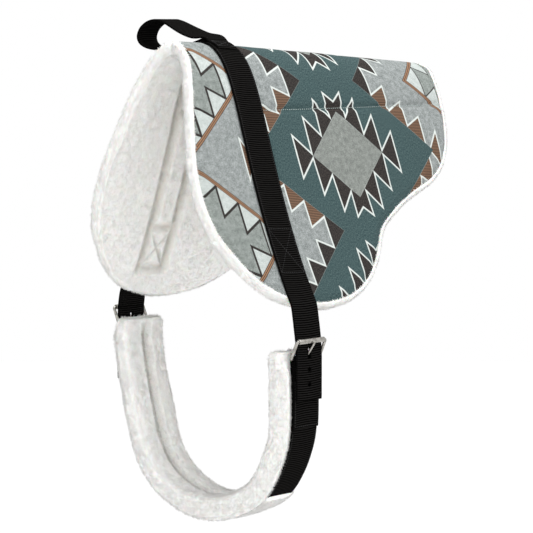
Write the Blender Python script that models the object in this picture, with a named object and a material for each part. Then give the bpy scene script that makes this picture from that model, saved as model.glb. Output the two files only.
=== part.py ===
"""A bareback pad: a quilted pad for a horse's back, with a grab handle and a buckled, fleece-lined girth.

The pad is a tapestry cover, a felt core and a fleece lining whose edge turns up round the other two. One
webbing strap is sewn over the pad from hem to hem and hangs free below each hem. Each free end runs through
a roller buckle at one end of the girth, which closes the loop under the horse. The handle is a webbing loop
sewn on the crown, lying over to the far side.

Metres, +Z up. +X points to the horse's tail and -Y to its left, the near side. The origin is under the crown
of the pad, on the spine and halfway along.
"""
import math

import bmesh
import bpy
import numpy as np
from mathutils import Matrix, Vector

# Clearances
LAYER_GAP = 0.0003                 # between layers that are sewn together or lie on each other
TURN_GAP = 0.0004                  # round a bar that something turns on
STRAP_GAP = 0.0008                 # between a strap and the roller that it passes
BEND_GAP = 0.0004                  # between two stretches of a strap, where it bends
LOOP_GAP = 0.0007                  # and where the girth's sway brings the far strap's end to its buckle

# Plan of the pad: its reach along the spine, and its flap along the surface from spine to hem
FRONT_REACH = 0.312
REAR_REACH = 0.250
FLAP_LENGTH = 0.382
FRONT_EDGE_SHARES = ((0.00, 0.840), (0.12, 0.868), (0.24, 0.912), (0.38, 0.957), (0.54, 0.997), (0.62, 1.000),
                     (0.73, 0.975), (0.80, 0.925), (0.88, 0.850), (0.93, 0.780), (0.965, 0.700),
                     (0.99, 0.600), (1.00, 0.530))
REAR_EDGE_SHARES = ((0.00, 1.000), (0.06, 0.995), (0.12, 0.970), (0.20, 0.955), (0.29, 0.940), (0.33, 0.926),
                    (0.39, 0.895), (0.444, 0.846), (0.49, 0.780), (0.534, 0.672), (0.58, 0.500),
                    (0.63, 0.338), (0.67, 0.232), (0.726, 0.112), (0.82, 0.008), (0.89, -0.092),
                    (0.94, -0.205), (0.975, -0.330), (0.99, -0.430), (1.00, -0.536))

# Cross-section of the pad: a tight crown that eases into a steep flank, which flares again at the hem
CROWN_RADIUS = 0.0258
FLANK_ANGLE = math.radians(75.7)
HEM_FLARE = math.radians(13.3)
SPINE_FALL = 0.0215                # how much lower the crown is at the rear than at the front

# Layers of the pad, from the outside in
COVER_THICKNESS = 0.0020
CORE_THICKNESS = 0.0080
LINING_THICKNESS = 0.0074
RIM_WIDTH = 0.0050                 # the fleece that stands round the cover's edge
RIM_DROP = 0.0010                  # its inner edge lies this far below the cover's face
RIM_ROUND = 0.0035                 # and its outer edge rounds off by this much
SEAM_DEPTH = 0.0005                # how far a stitch row draws the cover in
PILE_SEAM_DEPTH = 0.0030           # and the fleece
SEAM_HALF_WIDTH = 0.0050
SEAT_SEAM_LENGTH = 0.113           # from the spine to the seat seam, along the surface at the strap
SEAT_SEAM_RISE = 0.027             # how much closer to the spine that seam is at the rear

# Places of the rows and columns of the pad's faces
ROW_SHARES = (0.0, 0.035, 0.08, 0.14, 0.20, 0.25)
LOWER_ROW_SHARES = (0.11, 0.25, 0.39, 0.53, 0.67, 0.80, 0.91, 1.0)
FRONT_COLUMN_COUNT = 2
REAR_COLUMN_COUNT = 6

# Webbing
WEB_WIDTH = 0.050
WEB_THICKNESS = 0.0024
STITCH_INSET = 0.0030              # from the webbing's edge to a row of stitches
THREAD_WIDTH = 0.0012
THREAD_THICKNESS = 0.0005

# The strap over the pad
STRAP_X = -0.188
BOX_HEIGHT = 0.061                 # the box of stitches on each flap
BOX_INSET = 0.042                  # from the hem up to it
NEAR_STRAP_DROP = 0.0445           # from the hem to the roller
NEAR_STRAP_SPREAD = 0.0065         # and outward over that drop
FAR_STRAP_DROP = 0.0220
FAR_STRAP_SPREAD = 0.0033
NEAR_TAIL_LENGTH = 0.051
FAR_TAIL_LENGTH = 0.073
HOLE_PITCH = 0.0200
HOLE_WIDTH = 0.0056
TAIL_HOLE_COUNT = 2

# The roller buckles
WIRE_RADIUS = 0.0021
ROLLER_RADIUS = 0.0035
FRAME_PITCH = 0.026                # from the heel bar to the roller bar
FRAME_SIDE_GAP = 0.0007            # between the webbing's edge and the frame's leg
FRAME_CORNER = 0.0030
FRAME_TILT = math.radians(24)      # the roller stands out from the horse, the heel bar lies in
TONGUE_RADIUS = 0.0017
TONGUE_EYE_WIDTH = 0.0050
TONGUE_EYE_WALL = 0.0020
TONGUE_OVERHANG = 0.0030           # the tip's reach past the roller
TONGUE_SWING = math.radians(20)    # how far the strap's hole lets the tongue lift
WIRE_SIDES = 8
CORNER_STEPS = 3

# The girth
GIRTH_HEIGHT = 0.224               # from the near heel bar down to the webbing at the bottom of the loop
GIRTH_ROUTE_SHARES = ((-0.994, 0.083), (-1.000, 0.205), (-0.999, 0.340), (-0.985, 0.465),
                      (-0.938, 0.579), (-0.862, 0.696), (-0.751, 0.810), (-0.603, 0.893),
                      (-0.400, 0.959), (-0.185, 0.995), (0.030, 1.000), (0.246, 0.965), (0.443, 0.897),
                      (0.603, 0.802), (0.720, 0.674), (0.795, 0.533), (0.862, 0.362), (0.917, 0.205),
                      (0.957, 0.058), (0.970, -0.018))
GIRTH_STEPS = 2
FOLD_LENGTH = 0.092                # webbing doubled back below each heel bar
FOLD_START = 0.018                 # where the doubled webbing has closed up below the bar
SLEEVE_WIDTH = 0.070
SLEEVE_THICKNESS = 0.022
SLEEVE_FORWARD = 0.003             # the sleeve sits this far forward of the webbing
SLEEVE_RISE = 0.004                # its ends stand this far above the webbing's turn
SLEEVE_WALL = 0.0080
SLEEVE_CREASE = 0.0040             # the lengthwise seam in its inner face
SLEEVE_SIDES = 16
GIRTH_CORE_GAP = 0.0003

# The handle
HANDLE_WIDTH = 0.038
HANDLE_ROOT = 0.002                # the loop starts this far short of its hinge line
HANDLE_END_NEAR = 0.024            # its sewn ends, from the spine down the near side
HANDLE_END_FAR = 0.013             # and down the far side
HANDLE_BOX_TOP = 0.005             # their box of stitches starts this far down the near side
HANDLE_LOOP_LENGTH = 0.131         # from the hinge line to the far turn of the loop
HANDLE_LOOP_HEIGHT = 0.0275        # from the hinge line to the top of the loop
HANDLE_ROUTE_SHARES = ((0.20, 0.26), (0.38, 0.53), (0.60, 0.93), (0.72, 1.00), (0.85, 0.88), (0.95, 0.60),
                       (0.995, 0.22), (0.975, -0.10), (0.90, -0.33), (0.79, -0.46), (0.66, -0.49),
                       (0.42, -0.42), (0.20, -0.26))
HANDLE_STEPS = 2

NEAR, FAR = -1, 1
SECTION_STEPS = 600
SHARP_ANGLE = math.radians(40)


def cleared_scene():
    for item in list(bpy.data.objects):
        bpy.data.objects.remove(item, do_unlink=True)


def finish(name, color, roughness, metallic=0.0):
    """A Principled material."""
    item = bpy.data.materials.new(name)
    item.use_nodes = True
    shader = item.node_tree.nodes["Principled BSDF"]
    shader.inputs["Base Color"].default_value = (*color, 1.0)
    shader.inputs["Roughness"].default_value = roughness
    shader.inputs["Metallic"].default_value = metallic
    return item


def added(name, mesh_maker, material, pivot=(0.0, 0.0, 0.0)):
    """An object whose origin is its pivot, from a bmesh built in the pad's own frame."""
    mesh_maker.verts.ensure_lookup_table()
    bmesh.ops.recalc_face_normals(mesh_maker, faces=mesh_maker.faces)
    if mesh_maker.calc_volume(signed=True) < 0:
        bmesh.ops.reverse_faces(mesh_maker, faces=mesh_maker.faces)
    bmesh.ops.translate(mesh_maker, verts=mesh_maker.verts, vec=-Vector(pivot))
    mesh = bpy.data.meshes.new(name)
    mesh_maker.to_mesh(mesh)
    mesh_maker.free()
    mesh.materials.append(material)
    item = bpy.data.objects.new(name, mesh)
    item.location = pivot
    bpy.context.scene.collection.objects.link(item)
    return item


def smoothed(item):
    item.data.shade_smooth()
    item.data.set_sharp_from_angle(angle=SHARP_ANGLE)
    return item


def cut(item, cutter):
    """Cut one object with another, which stays as a hidden guide."""
    cutter.hide_render = True
    cutter.display_type = "WIRE"
    modifier = item.modifiers.new("Cut", "BOOLEAN")
    modifier.operation = "DIFFERENCE"
    modifier.solver = "EXACT"
    modifier.object = cutter


def eased(shares, at):
    """A smooth curve through (place, value) pairs that never swings past them."""
    places = np.array([pair[0] for pair in shares])
    values = np.array([pair[1] for pair in shares])
    slopes = np.diff(values) / np.diff(places)
    inner = [0.0 if a * b <= 0 else 2 * a * b / (a + b) for a, b in zip(slopes, slopes[1:])]
    tangents = np.array([slopes[0], *inner, slopes[-1]])
    k = int(np.clip(np.searchsorted(places, at) - 1, 0, len(slopes) - 1))
    width = places[k + 1] - places[k]
    t = (at - places[k]) / width
    start = (1 + 2 * t) * (1 - t) ** 2 * values[k] + t * (1 - t) ** 2 * width * tangents[k]
    end = t * t * (3 - 2 * t) * values[k + 1] + t * t * (t - 1) * width * tangents[k + 1]
    return float(start + end)


def rounded_route(points, steps):
    """A Catmull-Rom curve through points in a plane."""
    points = [Vector(p) for p in points]
    ends = [2 * points[0] - points[1], *points, 2 * points[-1] - points[-2]]
    route = []
    for a, b, c, d in zip(ends, ends[1:], ends[2:], ends[3:]):
        for k in range(steps):
            t = k / steps
            route.append(0.5 * (2 * b + (c - a) * t + (2 * a - 5 * b + 4 * c - d) * t ** 2
                                + (3 * b - a - 3 * c + d) * t ** 3))
    return [*route, points[-1]]


# The box of stitches, from the spine along the surface
BOX_BOTTOM = FLAP_LENGTH - BOX_INSET
BOX_TOP = BOX_BOTTOM - BOX_HEIGHT

# The cross-section as a table of half-width, drop and slope against the length along the surface
PAD_THICKNESS = COVER_THICKNESS + CORE_THICKNESS + LINING_THICKNESS + 2 * LAYER_GAP
LENGTHS = np.linspace(0, FLAP_LENGTH + 2 * RIM_WIDTH, SECTION_STEPS)
SLOPES = (FLANK_ANGLE * (1 - np.exp(-LENGTHS / (CROWN_RADIUS * FLANK_ANGLE)))
          - HEM_FLARE * (LENGTHS / FLAP_LENGTH) ** 2)


def summed(rates):
    """The running integral of a rate over the length along the surface."""
    return np.concatenate(([0.0], np.cumsum((rates[1:] + rates[:-1]) / 2 * np.diff(LENGTHS))))


HALF_WIDTHS = summed(np.cos(SLOPES))
DROPS = summed(np.sin(SLOPES))


def slope_at(length):
    return float(np.interp(abs(length), LENGTHS, SLOPES))


def on_pad(x, length, depth):
    """A point on the pad: length runs from the spine, positive down the near flap; depth runs inward."""
    reach = abs(length)
    side = NEAR if length >= 0 else FAR
    slope = slope_at(length)
    y = side * (float(np.interp(reach, LENGTHS, HALF_WIDTHS)) - depth * math.sin(slope))
    crown = PAD_THICKNESS - SPINE_FALL * x / (FRONT_REACH + REAR_REACH)
    return Vector((x, y, crown - float(np.interp(reach, LENGTHS, DROPS)) - depth * math.cos(slope)))


# The strap's rows of stitches, and the rows and columns of the pad's faces
STITCH_REACH = WEB_WIDTH / 2 - STITCH_INSET


def row_lengths():
    """Lengths of the rows down one flap, at the strap."""
    seam = [SEAT_SEAM_LENGTH - SEAM_HALF_WIDTH, SEAT_SEAM_LENGTH, SEAT_SEAM_LENGTH + SEAM_HALF_WIDTH]
    above = [share / ROW_SHARES[-1] * (seam[0] - SEAM_HALF_WIDTH) for share in ROW_SHARES]
    below = [seam[-1] + share * (FLAP_LENGTH - seam[-1]) for share in LOWER_ROW_SHARES]
    return [*above, *seam, *below]


def seam_drift(x, length):
    """How far a row shifts up the flap behind the strap, so that one row follows the seat seam."""
    start = STRAP_X + WEB_WIDTH / 2
    along = min(max((x - start) / (REAR_REACH - start), 0.0), 1.0)
    reach = abs(length)
    near_seam = reach / SEAT_SEAM_LENGTH
    if reach > SEAT_SEAM_LENGTH:
        near_seam = max(0.0, 1 - (reach - SEAT_SEAM_LENGTH) / (BOX_BOTTOM - SEAT_SEAM_LENGTH))
    return SEAT_SEAM_RISE * along * near_seam


def column_places(length):
    """Where the columns cross one row, with fixed places beside the strap's rows of stitches."""
    share = min(abs(length) / FLAP_LENGTH, 1.0)
    front = -FRONT_REACH * eased(FRONT_EDGE_SHARES, share)
    rear = REAR_REACH * eased(REAR_EDGE_SHARES, share)
    offsets = [STITCH_REACH - SEAM_HALF_WIDTH, STITCH_REACH, STITCH_REACH + SEAM_HALF_WIDTH]
    zone = [STRAP_X + place for place in [-value for value in reversed(offsets)] + [0.0] + offsets]
    ahead = [front + k / FRONT_COLUMN_COUNT * (zone[0] - front) for k in range(FRONT_COLUMN_COUNT)]
    behind = [zone[-1] + (k + 1) / REAR_COLUMN_COUNT * (rear - zone[-1]) for k in range(REAR_COLUMN_COUNT)]
    fixed = [*ahead, *zone, *behind]
    even = [front + k / (len(fixed) - 1) * (rear - front) for k in range(len(fixed))]
    below_box = min(max((abs(length) - BOX_BOTTOM) / (FLAP_LENGTH - BOX_BOTTOM), 0.0), 1.0)
    blend = below_box ** 0.5
    return [a + blend * (b - a) for a, b in zip(fixed, even)]


def pad_grid():
    """(x, length) of every crossing, row by row from the far hem to the near one."""
    down = row_lengths()
    lengths = [-value for value in reversed(down[1:])] + down
    rows = []
    for length in lengths:
        side = 1 if length >= 0 else -1
        rows.append([(x, length - side * seam_drift(x, length)) for x in column_places(length)])
    return rows


def edge_of(rows):
    """Row and column numbers round the grid's edge, in order."""
    last_row, last_column = len(rows) - 1, len(rows[0]) - 1
    return ([(0, c) for c in range(last_column)] + [(r, last_column) for r in range(last_row)]
            + [(last_row, c) for c in range(last_column, 0, -1)] + [(r, 0) for r in range(last_row, 0, -1)])


def grown(places, distance):
    """The edge's places, moved outward in the pad's own surface."""
    moved = []
    for before, here, after in zip(places[-1:] + places[:-1], places, places[1:] + places[:1]):
        ahead = (Vector(after) - Vector(here)).normalized()
        behind = (Vector(here) - Vector(before)).normalized()
        along = (ahead + behind).normalized()
        moved.append((here[0] + along.y * distance, here[1] - along.x * distance))
    return moved


def sheet_verts(maker, rows, depth_at, edge_places=None):
    """One face of a layer: a grid of vertices, with its edge moved to other places if given."""
    edge = dict(zip(edge_of(rows), edge_places)) if edge_places else {}
    grid = []
    for r, row in enumerate(rows):
        grid.append([maker.verts.new(on_pad(*edge.get((r, c), place), depth_at(r, c)))
                     for c, place in enumerate(row)])
    return grid


def sheet_faces(maker, grid, flip):
    """Triangles over a grid of vertices, cut the same way in every layer so that layers never cross."""
    for low, high in zip(grid, grid[1:]):
        for a, b, c, d in zip(low, low[1:], high[1:], high):
            for corners in ((a, b, c), (a, c, d)):
                maker.faces.new(corners[::-1] if flip else corners)


def join_rings(maker, one, other):
    """Faces between two rings of as many vertices."""
    for a, b, c, d in zip(one, one[1:] + one[:1], other[1:] + other[:1], other):
        maker.faces.new((a, b, c))
        maker.faces.new((a, c, d))


def is_drawn_in(rows, r, c):
    """Whether a crossing lies on a row of stitches: the strap's two rows or the seat seam."""
    down = row_lengths()
    seam_row = down.index(SEAT_SEAM_LENGTH)
    middle = len(down) - 1
    front_stitch = FRONT_COLUMN_COUNT + 1
    rear_stitch = front_stitch + 4
    over_box = abs(r - middle) <= len(down) - 4
    on_strap = c in (front_stitch, rear_stitch) and over_box
    on_seat = abs(r - middle) == seam_row and rear_stitch <= c < len(rows[0]) - 1
    return on_strap or on_seat


def plain_layer(name, rows, top, bottom, material, seam_depth=0.0):
    """A layer between two depths that reaches the grid's edge."""
    maker = bmesh.new()
    upper = sheet_verts(maker, rows, lambda r, c: top + (seam_depth if is_drawn_in(rows, r, c) else 0.0))
    lower = sheet_verts(maker, rows, lambda r, c: bottom)
    sheet_faces(maker, upper, False)
    sheet_faces(maker, lower, True)
    join_rings(maker, [upper[r][c] for r, c in edge_of(rows)], [lower[r][c] for r, c in edge_of(rows)])
    return smoothed(added(name, maker, material))


def lining_layer(name, rows, top, bottom, material):
    """The fleece: a sheet under the core whose edge turns up round the core and the cover."""
    maker = bmesh.new()
    edge = edge_of(rows)
    places = [rows[r][c] for r, c in edge]
    inside = grown(places, LAYER_GAP)
    outside = grown(places, RIM_WIDTH)
    upper = sheet_verts(maker, rows, lambda r, c: top, inside)
    on_edge = set(edge)
    lower = sheet_verts(maker, rows, lambda r, c: bottom - (
        RIM_ROUND / 2 if (r, c) in on_edge else PILE_SEAM_DEPTH if is_drawn_in(rows, r, c) else 0.0))
    sheet_faces(maker, upper, False)
    sheet_faces(maker, lower, True)
    rings = [[upper[r][c] for r, c in edge]]
    for ring_places, depth in ((inside, RIM_DROP), (outside, RIM_ROUND), (outside, bottom - RIM_ROUND)):
        rings.append([maker.verts.new(on_pad(x, length, depth)) for x, length in ring_places])
    rings.append([lower[r][c] for r, c in edge])
    for one, other in zip(rings, rings[1:]):
        join_rings(maker, other, one)
    return smoothed(added(name, maker, material))


def rings_skinned(maker, rings, closed=False):
    """A solid through rings of points: capped at both ends, or closed into a loop."""
    loops = [[maker.verts.new(point) for point in ring] for ring in rings]
    pairs = list(zip(loops, loops[1:]))
    if closed:
        pairs.append((loops[-1], loops[0]))
    for one, other in pairs:
        for a, b, c, d in zip(one, one[1:] + one[:1], other[1:] + other[:1], other):
            maker.faces.new((a, b, c, d))
    if not closed:
        maker.faces.new(loops[0])
        maker.faces.new(loops[-1][::-1])
    return maker


def pad_band(maker, lengths, left, right, top, bottom):
    """A flat band that lies along the pad, between two places on the spine and two depths."""
    rings = []
    for length in lengths:
        rings.append([on_pad(left, length, top), on_pad(right, length, top),
                      on_pad(right, length, bottom), on_pad(left, length, bottom)])
    return rings_skinned(maker, rings)


def route_normals(route):
    """The unit normal of a route in the Y-Z plane at each of its points, to the left of its run."""
    normals = []
    for before, after in zip([route[0], *route[:-1]], [*route[1:], route[-1]]):
        along = (after - before).normalized()
        normals.append(Vector((-along.y, along.x)))
    return normals


def shifted(route, distance):
    return [point + normal * distance for point, normal in zip(route, route_normals(route))]


def levelled(normal):
    """The normal of a strap's end that is cut level instead of square, so that hinged ends meet flat."""
    return Vector((1 / normal.x, 0.0))


def route_band(route, x, width, thickness, level_ends=False):
    """Flat webbing along a route in the Y-Z plane."""
    rings = []
    normals = route_normals(route)
    if level_ends:
        normals[0], normals[-1] = levelled(normals[0]), levelled(normals[-1])
    for point, normal in zip(route, normals):
        outer = point + normal * thickness / 2
        inner = point - normal * thickness / 2
        rings.append([Vector((x - width / 2, *outer)), Vector((x + width / 2, *outer)),
                      Vector((x + width / 2, *inner)), Vector((x - width / 2, *inner))])
    return rings_skinned(bmesh.new(), rings)


def web_band(route):
    """A hanging stretch of the strap, with level ends."""
    return route_band(route, STRAP_X, WEB_WIDTH, WEB_THICKNESS, level_ends=True)


def box_cutter(name, low, high, material):
    """A box between two corners, as a hidden guide."""
    maker = bmesh.new()
    bmesh.ops.create_cube(maker, size=1.0)
    size = Vector(high) - Vector(low)
    middle = (Vector(high) + Vector(low)) / 2
    placed = Matrix.Translation(middle) @ Matrix.Diagonal((*size, 1))
    bmesh.ops.transform(maker, verts=maker.verts, matrix=placed)
    return added(name, maker, material)


def circle_points(centre, radius, sides, across, up):
    """Points round a circle that spans two unit vectors."""
    turns = [2 * math.pi * (k + 0.5) / sides for k in range(sides)]
    return [centre + radius * (math.cos(turn) * across + math.sin(turn) * up) for turn in turns]


def pad_layers(fabric, felt, fleece):
    rows = pad_grid()
    core_top = COVER_THICKNESS + LAYER_GAP
    core_bottom = core_top + CORE_THICKNESS
    plain_layer("pad_cover", rows, 0.0, COVER_THICKNESS, fabric, SEAM_DEPTH)
    plain_layer("pad_core", rows, core_top, core_bottom, felt)
    lining_layer("pad_lining", rows, core_bottom + LAYER_GAP, PAD_THICKNESS, fleece)


# Depths of what lies on the cover, outward and so negative
STRAP_BOTTOM = -LAYER_GAP
STRAP_TOP = STRAP_BOTTOM - WEB_THICKNESS
TAB_BOTTOM = STRAP_TOP - LAYER_GAP
TAB_TOP = TAB_BOTTOM - WEB_THICKNESS


def hem_point(side):
    """The middle of the strap where it leaves the hem, as (y, z)."""
    point = on_pad(STRAP_X, -side * (FLAP_LENGTH + RIM_WIDTH), (STRAP_TOP + STRAP_BOTTOM) / 2)
    return Vector((point.y, point.z))


def sewn_strap(webbing):
    """The strap over the pad, each end cut level where the free strap hangs on from it."""
    end = FLAP_LENGTH + RIM_WIDTH
    down = [*row_lengths()[:-1], end]
    lengths = [-value for value in reversed(down[1:])] + down
    left, right = STRAP_X - WEB_WIDTH / 2, STRAP_X + WEB_WIDTH / 2
    maker = pad_band(bmesh.new(), lengths, left, right, STRAP_TOP, STRAP_BOTTOM)
    level = hem_point(NEAR).y + BEND_GAP / 2
    maker.verts.ensure_lookup_table()
    for vert in [*maker.verts[:4], *maker.verts[-4:]]:
        rise = level - vert.co.z
        vert.co.y -= math.copysign(rise / math.tan(slope_at(end)), vert.co.y)
        vert.co.z = level
    smoothed(added("pad_strap", maker, webbing))


def box_stitching(name, side, reach, top, bottom, low, thread):
    """A box of stitches with a cross in it, as one thread: a panel with four three-cornered windows."""
    outer = [(-reach, top), (reach, top), (reach, bottom), (-reach, bottom)]
    middle = Vector((0.0, (top + bottom) / 2))
    windows = []
    for start, end in zip(outer, outer[1:] + outer[:1]):
        corners = [Vector(start), Vector(end), middle]
        inward = (middle - (corners[0] + corners[1]) / 2).normalized()
        along = (corners[1] - corners[0]).normalized()
        slant = (middle - corners[0]).normalized()
        half_angle = math.acos(max(-1.0, min(1.0, along.dot(slant))))
        near_edge = THREAD_WIDTH / math.tan(half_angle) + THREAD_WIDTH / 2 / math.sin(half_angle)
        from_middle = THREAD_WIDTH / 2 / math.cos(half_angle)
        windows.append((corners[0] + inward * THREAD_WIDTH + along * near_edge,
                        corners[1] + inward * THREAD_WIDTH - along * near_edge,
                        middle - inward * from_middle))
    maker = bmesh.new()
    skins = []
    for depth in (low - THREAD_THICKNESS, low):
        rim = [maker.verts.new((*point, depth)) for point in outer]
        holes = [[maker.verts.new((*point, depth)) for point in window] for window in windows]
        for k in range(len(rim)):
            after = (k + 1) % len(rim)
            maker.faces.new((rim[k], rim[after], holes[k][1], holes[k][0]))
            maker.faces.new((rim[after], holes[after][0], holes[k][1]))
            maker.faces.new((holes[k][1], holes[after][0], holes[after][2], holes[k][2]))
        maker.faces.new([hole[2] for hole in holes])
        skins.append([rim, *holes])
    for one, other in zip(*skins):
        join_rings(maker, one, other)
    for row in row_lengths():
        geometry = [*maker.verts, *maker.edges, *maker.faces]
        bmesh.ops.bisect_plane(maker, geom=geometry, plane_co=(0, row, 0), plane_no=(0, 1, 0))
    for vert in maker.verts:
        across, length, depth = vert.co
        vert.co = on_pad(STRAP_X + across, -side * length, depth)
    added(name, maker, thread)


class Buckle:
    """Where one buckle's bars lie, from the strap that hangs to it."""

    def __init__(self, side, drop, spread):
        self.side = side
        self.strap_top = hem_point(side)
        self.strap_foot = self.strap_top + Vector((side * spread, -drop))
        out = ROLLER_RADIUS + STRAP_GAP + WEB_THICKNESS / 2
        self.roller = self.strap_foot + Vector((side * out, 0.0))
        self.up = Vector((side * math.sin(FRAME_TILT), math.cos(FRAME_TILT)))
        self.out = Vector((side * math.cos(FRAME_TILT), -math.sin(FRAME_TILT)))
        self.heel = self.roller - self.up * FRAME_PITCH
        self.turn_radius = WIRE_RADIUS + TURN_GAP + WEB_THICKNESS / 2
        pass_out = self.turn_radius + WEB_THICKNESS + LAYER_GAP
        self.strap_at_heel = self.heel + Vector((side * pass_out, 0.0))
        self.tail_top = self.strap_at_heel - Vector((0.0, self.turn_radius))


def strap_pieces(name, buckle, tail_length, foot_gap, webbing):
    """The strap below one hem: down to the roller, over the heel bar with its tongue hole, and the tail."""
    gap = Vector((0.0, BEND_GAP / 2))
    end_gap = Vector((0.0, foot_gap / 2))
    free = [buckle.strap_top - gap, buckle.strap_foot + end_gap]
    pivot = (STRAP_X, *buckle.strap_top)
    added(name + "_strap", web_band(free), webbing, pivot)

    through = [buckle.strap_foot - end_gap, buckle.strap_at_heel, buckle.tail_top + gap]
    foot = (STRAP_X, *buckle.strap_foot)
    wrap = added(name + "_strap_wrap", web_band(through), webbing, foot)
    cut(wrap, tongue_slot(name, buckle, webbing))

    tail_start = buckle.tail_top - gap
    tail_end = tail_start - Vector((0.0, tail_length))
    hinge = buckle.tail_top + Vector((buckle.side * WEB_THICKNESS / 2, 0.0))
    tail = added(name + "_tail", web_band([tail_start, tail_end]), webbing, (STRAP_X, *hinge))
    for k in range(TAIL_HOLE_COUNT):
        centre = Vector((STRAP_X, tail_start.x, tail_start.y - HOLE_PITCH * (k + 0.5)))
        maker = bmesh.new()
        across, up = Vector((1, 0, 0)), Vector((0, 0, 1))
        thick = Vector((0, WEB_THICKNESS, 0))
        rings_skinned(maker, [circle_points(centre + thick, HOLE_WIDTH / 2, WIRE_SIDES, across, up),
                              circle_points(centre - thick, HOLE_WIDTH / 2, WIRE_SIDES, across, up)])
        cut(tail, added(f"{name}_hole_{k + 1}_cutter", maker, webbing))


def tongue_line(buckle):
    """The tongue's direction at rest, lying on the roller, and its length from the heel bar."""
    lean = math.asin((ROLLER_RADIUS + LAYER_GAP + TONGUE_RADIUS) / FRAME_PITCH)
    along = (buckle.up * math.cos(lean) + buckle.out * math.sin(lean)).normalized()
    return along, FRAME_PITCH * math.cos(lean) + TONGUE_OVERHANG


def tongue_slot(name, buckle, webbing):
    """The hole in the strap, long enough for the tongue to lift through its swing."""
    along, _ = tongue_line(buckle)
    lean = math.atan2(abs(along.x), along.y)
    out = abs(buckle.strap_at_heel.x - buckle.heel.x)
    inner, outer = out - WEB_THICKNESS, out + WEB_THICKNESS
    high = buckle.heel.y + outer / math.tan(lean) + TONGUE_RADIUS / math.sin(lean) + TURN_GAP
    low = buckle.heel.y + inner / math.tan(lean + TONGUE_SWING) - TONGUE_RADIUS / math.sin(lean) - TURN_GAP
    half = TONGUE_RADIUS + TURN_GAP
    middle = (buckle.strap_foot.x + buckle.strap_at_heel.x) / 2
    return box_cutter(name + "_slot_cutter",
                      (STRAP_X - half, middle - 2 * WEB_THICKNESS, low),
                      (STRAP_X + half, middle + 2 * WEB_THICKNESS, high), webbing)


def buckle_frame(name, buckle, metal):
    """A closed wire frame: heel bar, two legs and the roller's bar, with rounded corners."""
    half = WEB_WIDTH / 2 + FRAME_SIDE_GAP + WIRE_RADIUS
    across = Vector((1, 0, 0))
    up = Vector((0, *buckle.up))
    centre = Vector((STRAP_X, *((buckle.roller + buckle.heel) / 2)))
    straight = (half - FRAME_CORNER, FRAME_PITCH / 2 - FRAME_CORNER)
    route, tangents = [], []
    for quarter, (sx, sz) in enumerate(((1, 1), (-1, 1), (-1, -1), (1, -1))):
        for step in range(CORNER_STEPS + 1):
            turn = math.pi / 2 * (quarter + step / CORNER_STEPS)
            around = math.cos(turn) * across + math.sin(turn) * up
            route.append(centre + sx * straight[0] * across + sz * straight[1] * up + FRAME_CORNER * around)
            tangents.append(math.cos(turn) * up - math.sin(turn) * across)
    out = Vector((0, *buckle.out))
    rings = [circle_points(point, WIRE_RADIUS, WIRE_SIDES, out, along.cross(out).normalized())
             for point, along in zip(route, tangents)]
    smoothed(added(name + "_buckle_frame", rings_skinned(bmesh.new(), rings, closed=True), metal,
                   (STRAP_X, *buckle.heel)))


def buckle_roller(name, buckle, metal):
    """A tube that turns on the frame's upper bar."""
    half = WEB_WIDTH / 2 + FRAME_SIDE_GAP + WIRE_RADIUS - FRAME_CORNER - LAYER_GAP
    centre = Vector((STRAP_X, *buckle.roller))
    across, up = Vector((0, 1, 0)), Vector((0, 0, 1))
    maker = bmesh.new()
    rings = []
    for place, radius in ((-half, WIRE_RADIUS + TURN_GAP), (-half, ROLLER_RADIUS),
                          (half, ROLLER_RADIUS), (half, WIRE_RADIUS + TURN_GAP)):
        rings.append(circle_points(centre + Vector((place, 0, 0)), radius, 2 * WIRE_SIDES, across, up))
    rings_skinned(maker, rings, closed=True)
    smoothed(added(name + "_buckle_roller", maker, metal, tuple(centre)))


def buckle_tongue(name, buckle, metal):
    """An eye round the heel bar with a pin that lies across the roller."""
    along, length = tongue_line(buckle)
    heel = Vector((STRAP_X, *buckle.heel))
    across, up = Vector((0, 1, 0)), Vector((0, 0, 1))
    inner = WIRE_RADIUS + TURN_GAP
    outer = inner + TONGUE_EYE_WALL
    maker = bmesh.new()
    rings = []
    for place, radius in ((-0.5, inner), (-0.5, outer), (0.5, outer), (0.5, inner)):
        shift = Vector((place * TONGUE_EYE_WIDTH, 0, 0))
        rings.append(circle_points(heel + shift, radius, 2 * WIRE_SIDES, across, up))
    rings_skinned(maker, rings, closed=True)
    item = added(name + "_buckle_tongue", maker, metal, tuple(heel))

    run = Vector((0, *along))
    side = Vector((1, 0, 0))
    pin = bmesh.new()
    start = heel + run * (inner + TONGUE_EYE_WALL / 3)
    tip = heel + run * length
    rings = [circle_points(start, TONGUE_RADIUS, WIRE_SIDES, side, side.cross(run)),
             circle_points(tip - run * TONGUE_RADIUS, TONGUE_RADIUS, WIRE_SIDES, side, side.cross(run)),
             circle_points(tip, TONGUE_RADIUS / 2, WIRE_SIDES, side, side.cross(run))]
    pin_item = added(name + "_pin_cutter", rings_skinned(pin, rings), metal)
    pin_item.hide_render = True
    pin_item.display_type = "WIRE"
    modifier = item.modifiers.new("Pin", "BOOLEAN")
    modifier.operation = "UNION"
    modifier.solver = "EXACT"
    modifier.object = pin_item


def girth_route(near, far):
    """The girth webbing's single run, from the near heel bar under the horse to the far one."""
    near_top = near.heel + Vector((near.turn_radius, 0.0))
    far_top = far.heel - Vector((far.turn_radius, 0.0))
    half_span = (far.heel.x - near.heel.x) / 2
    between = [(y * half_span, near.heel.y - z * GIRTH_HEIGHT) for y, z in GIRTH_ROUTE_SHARES]
    return rounded_route([near_top, *between, far_top], GIRTH_STEPS)


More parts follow.
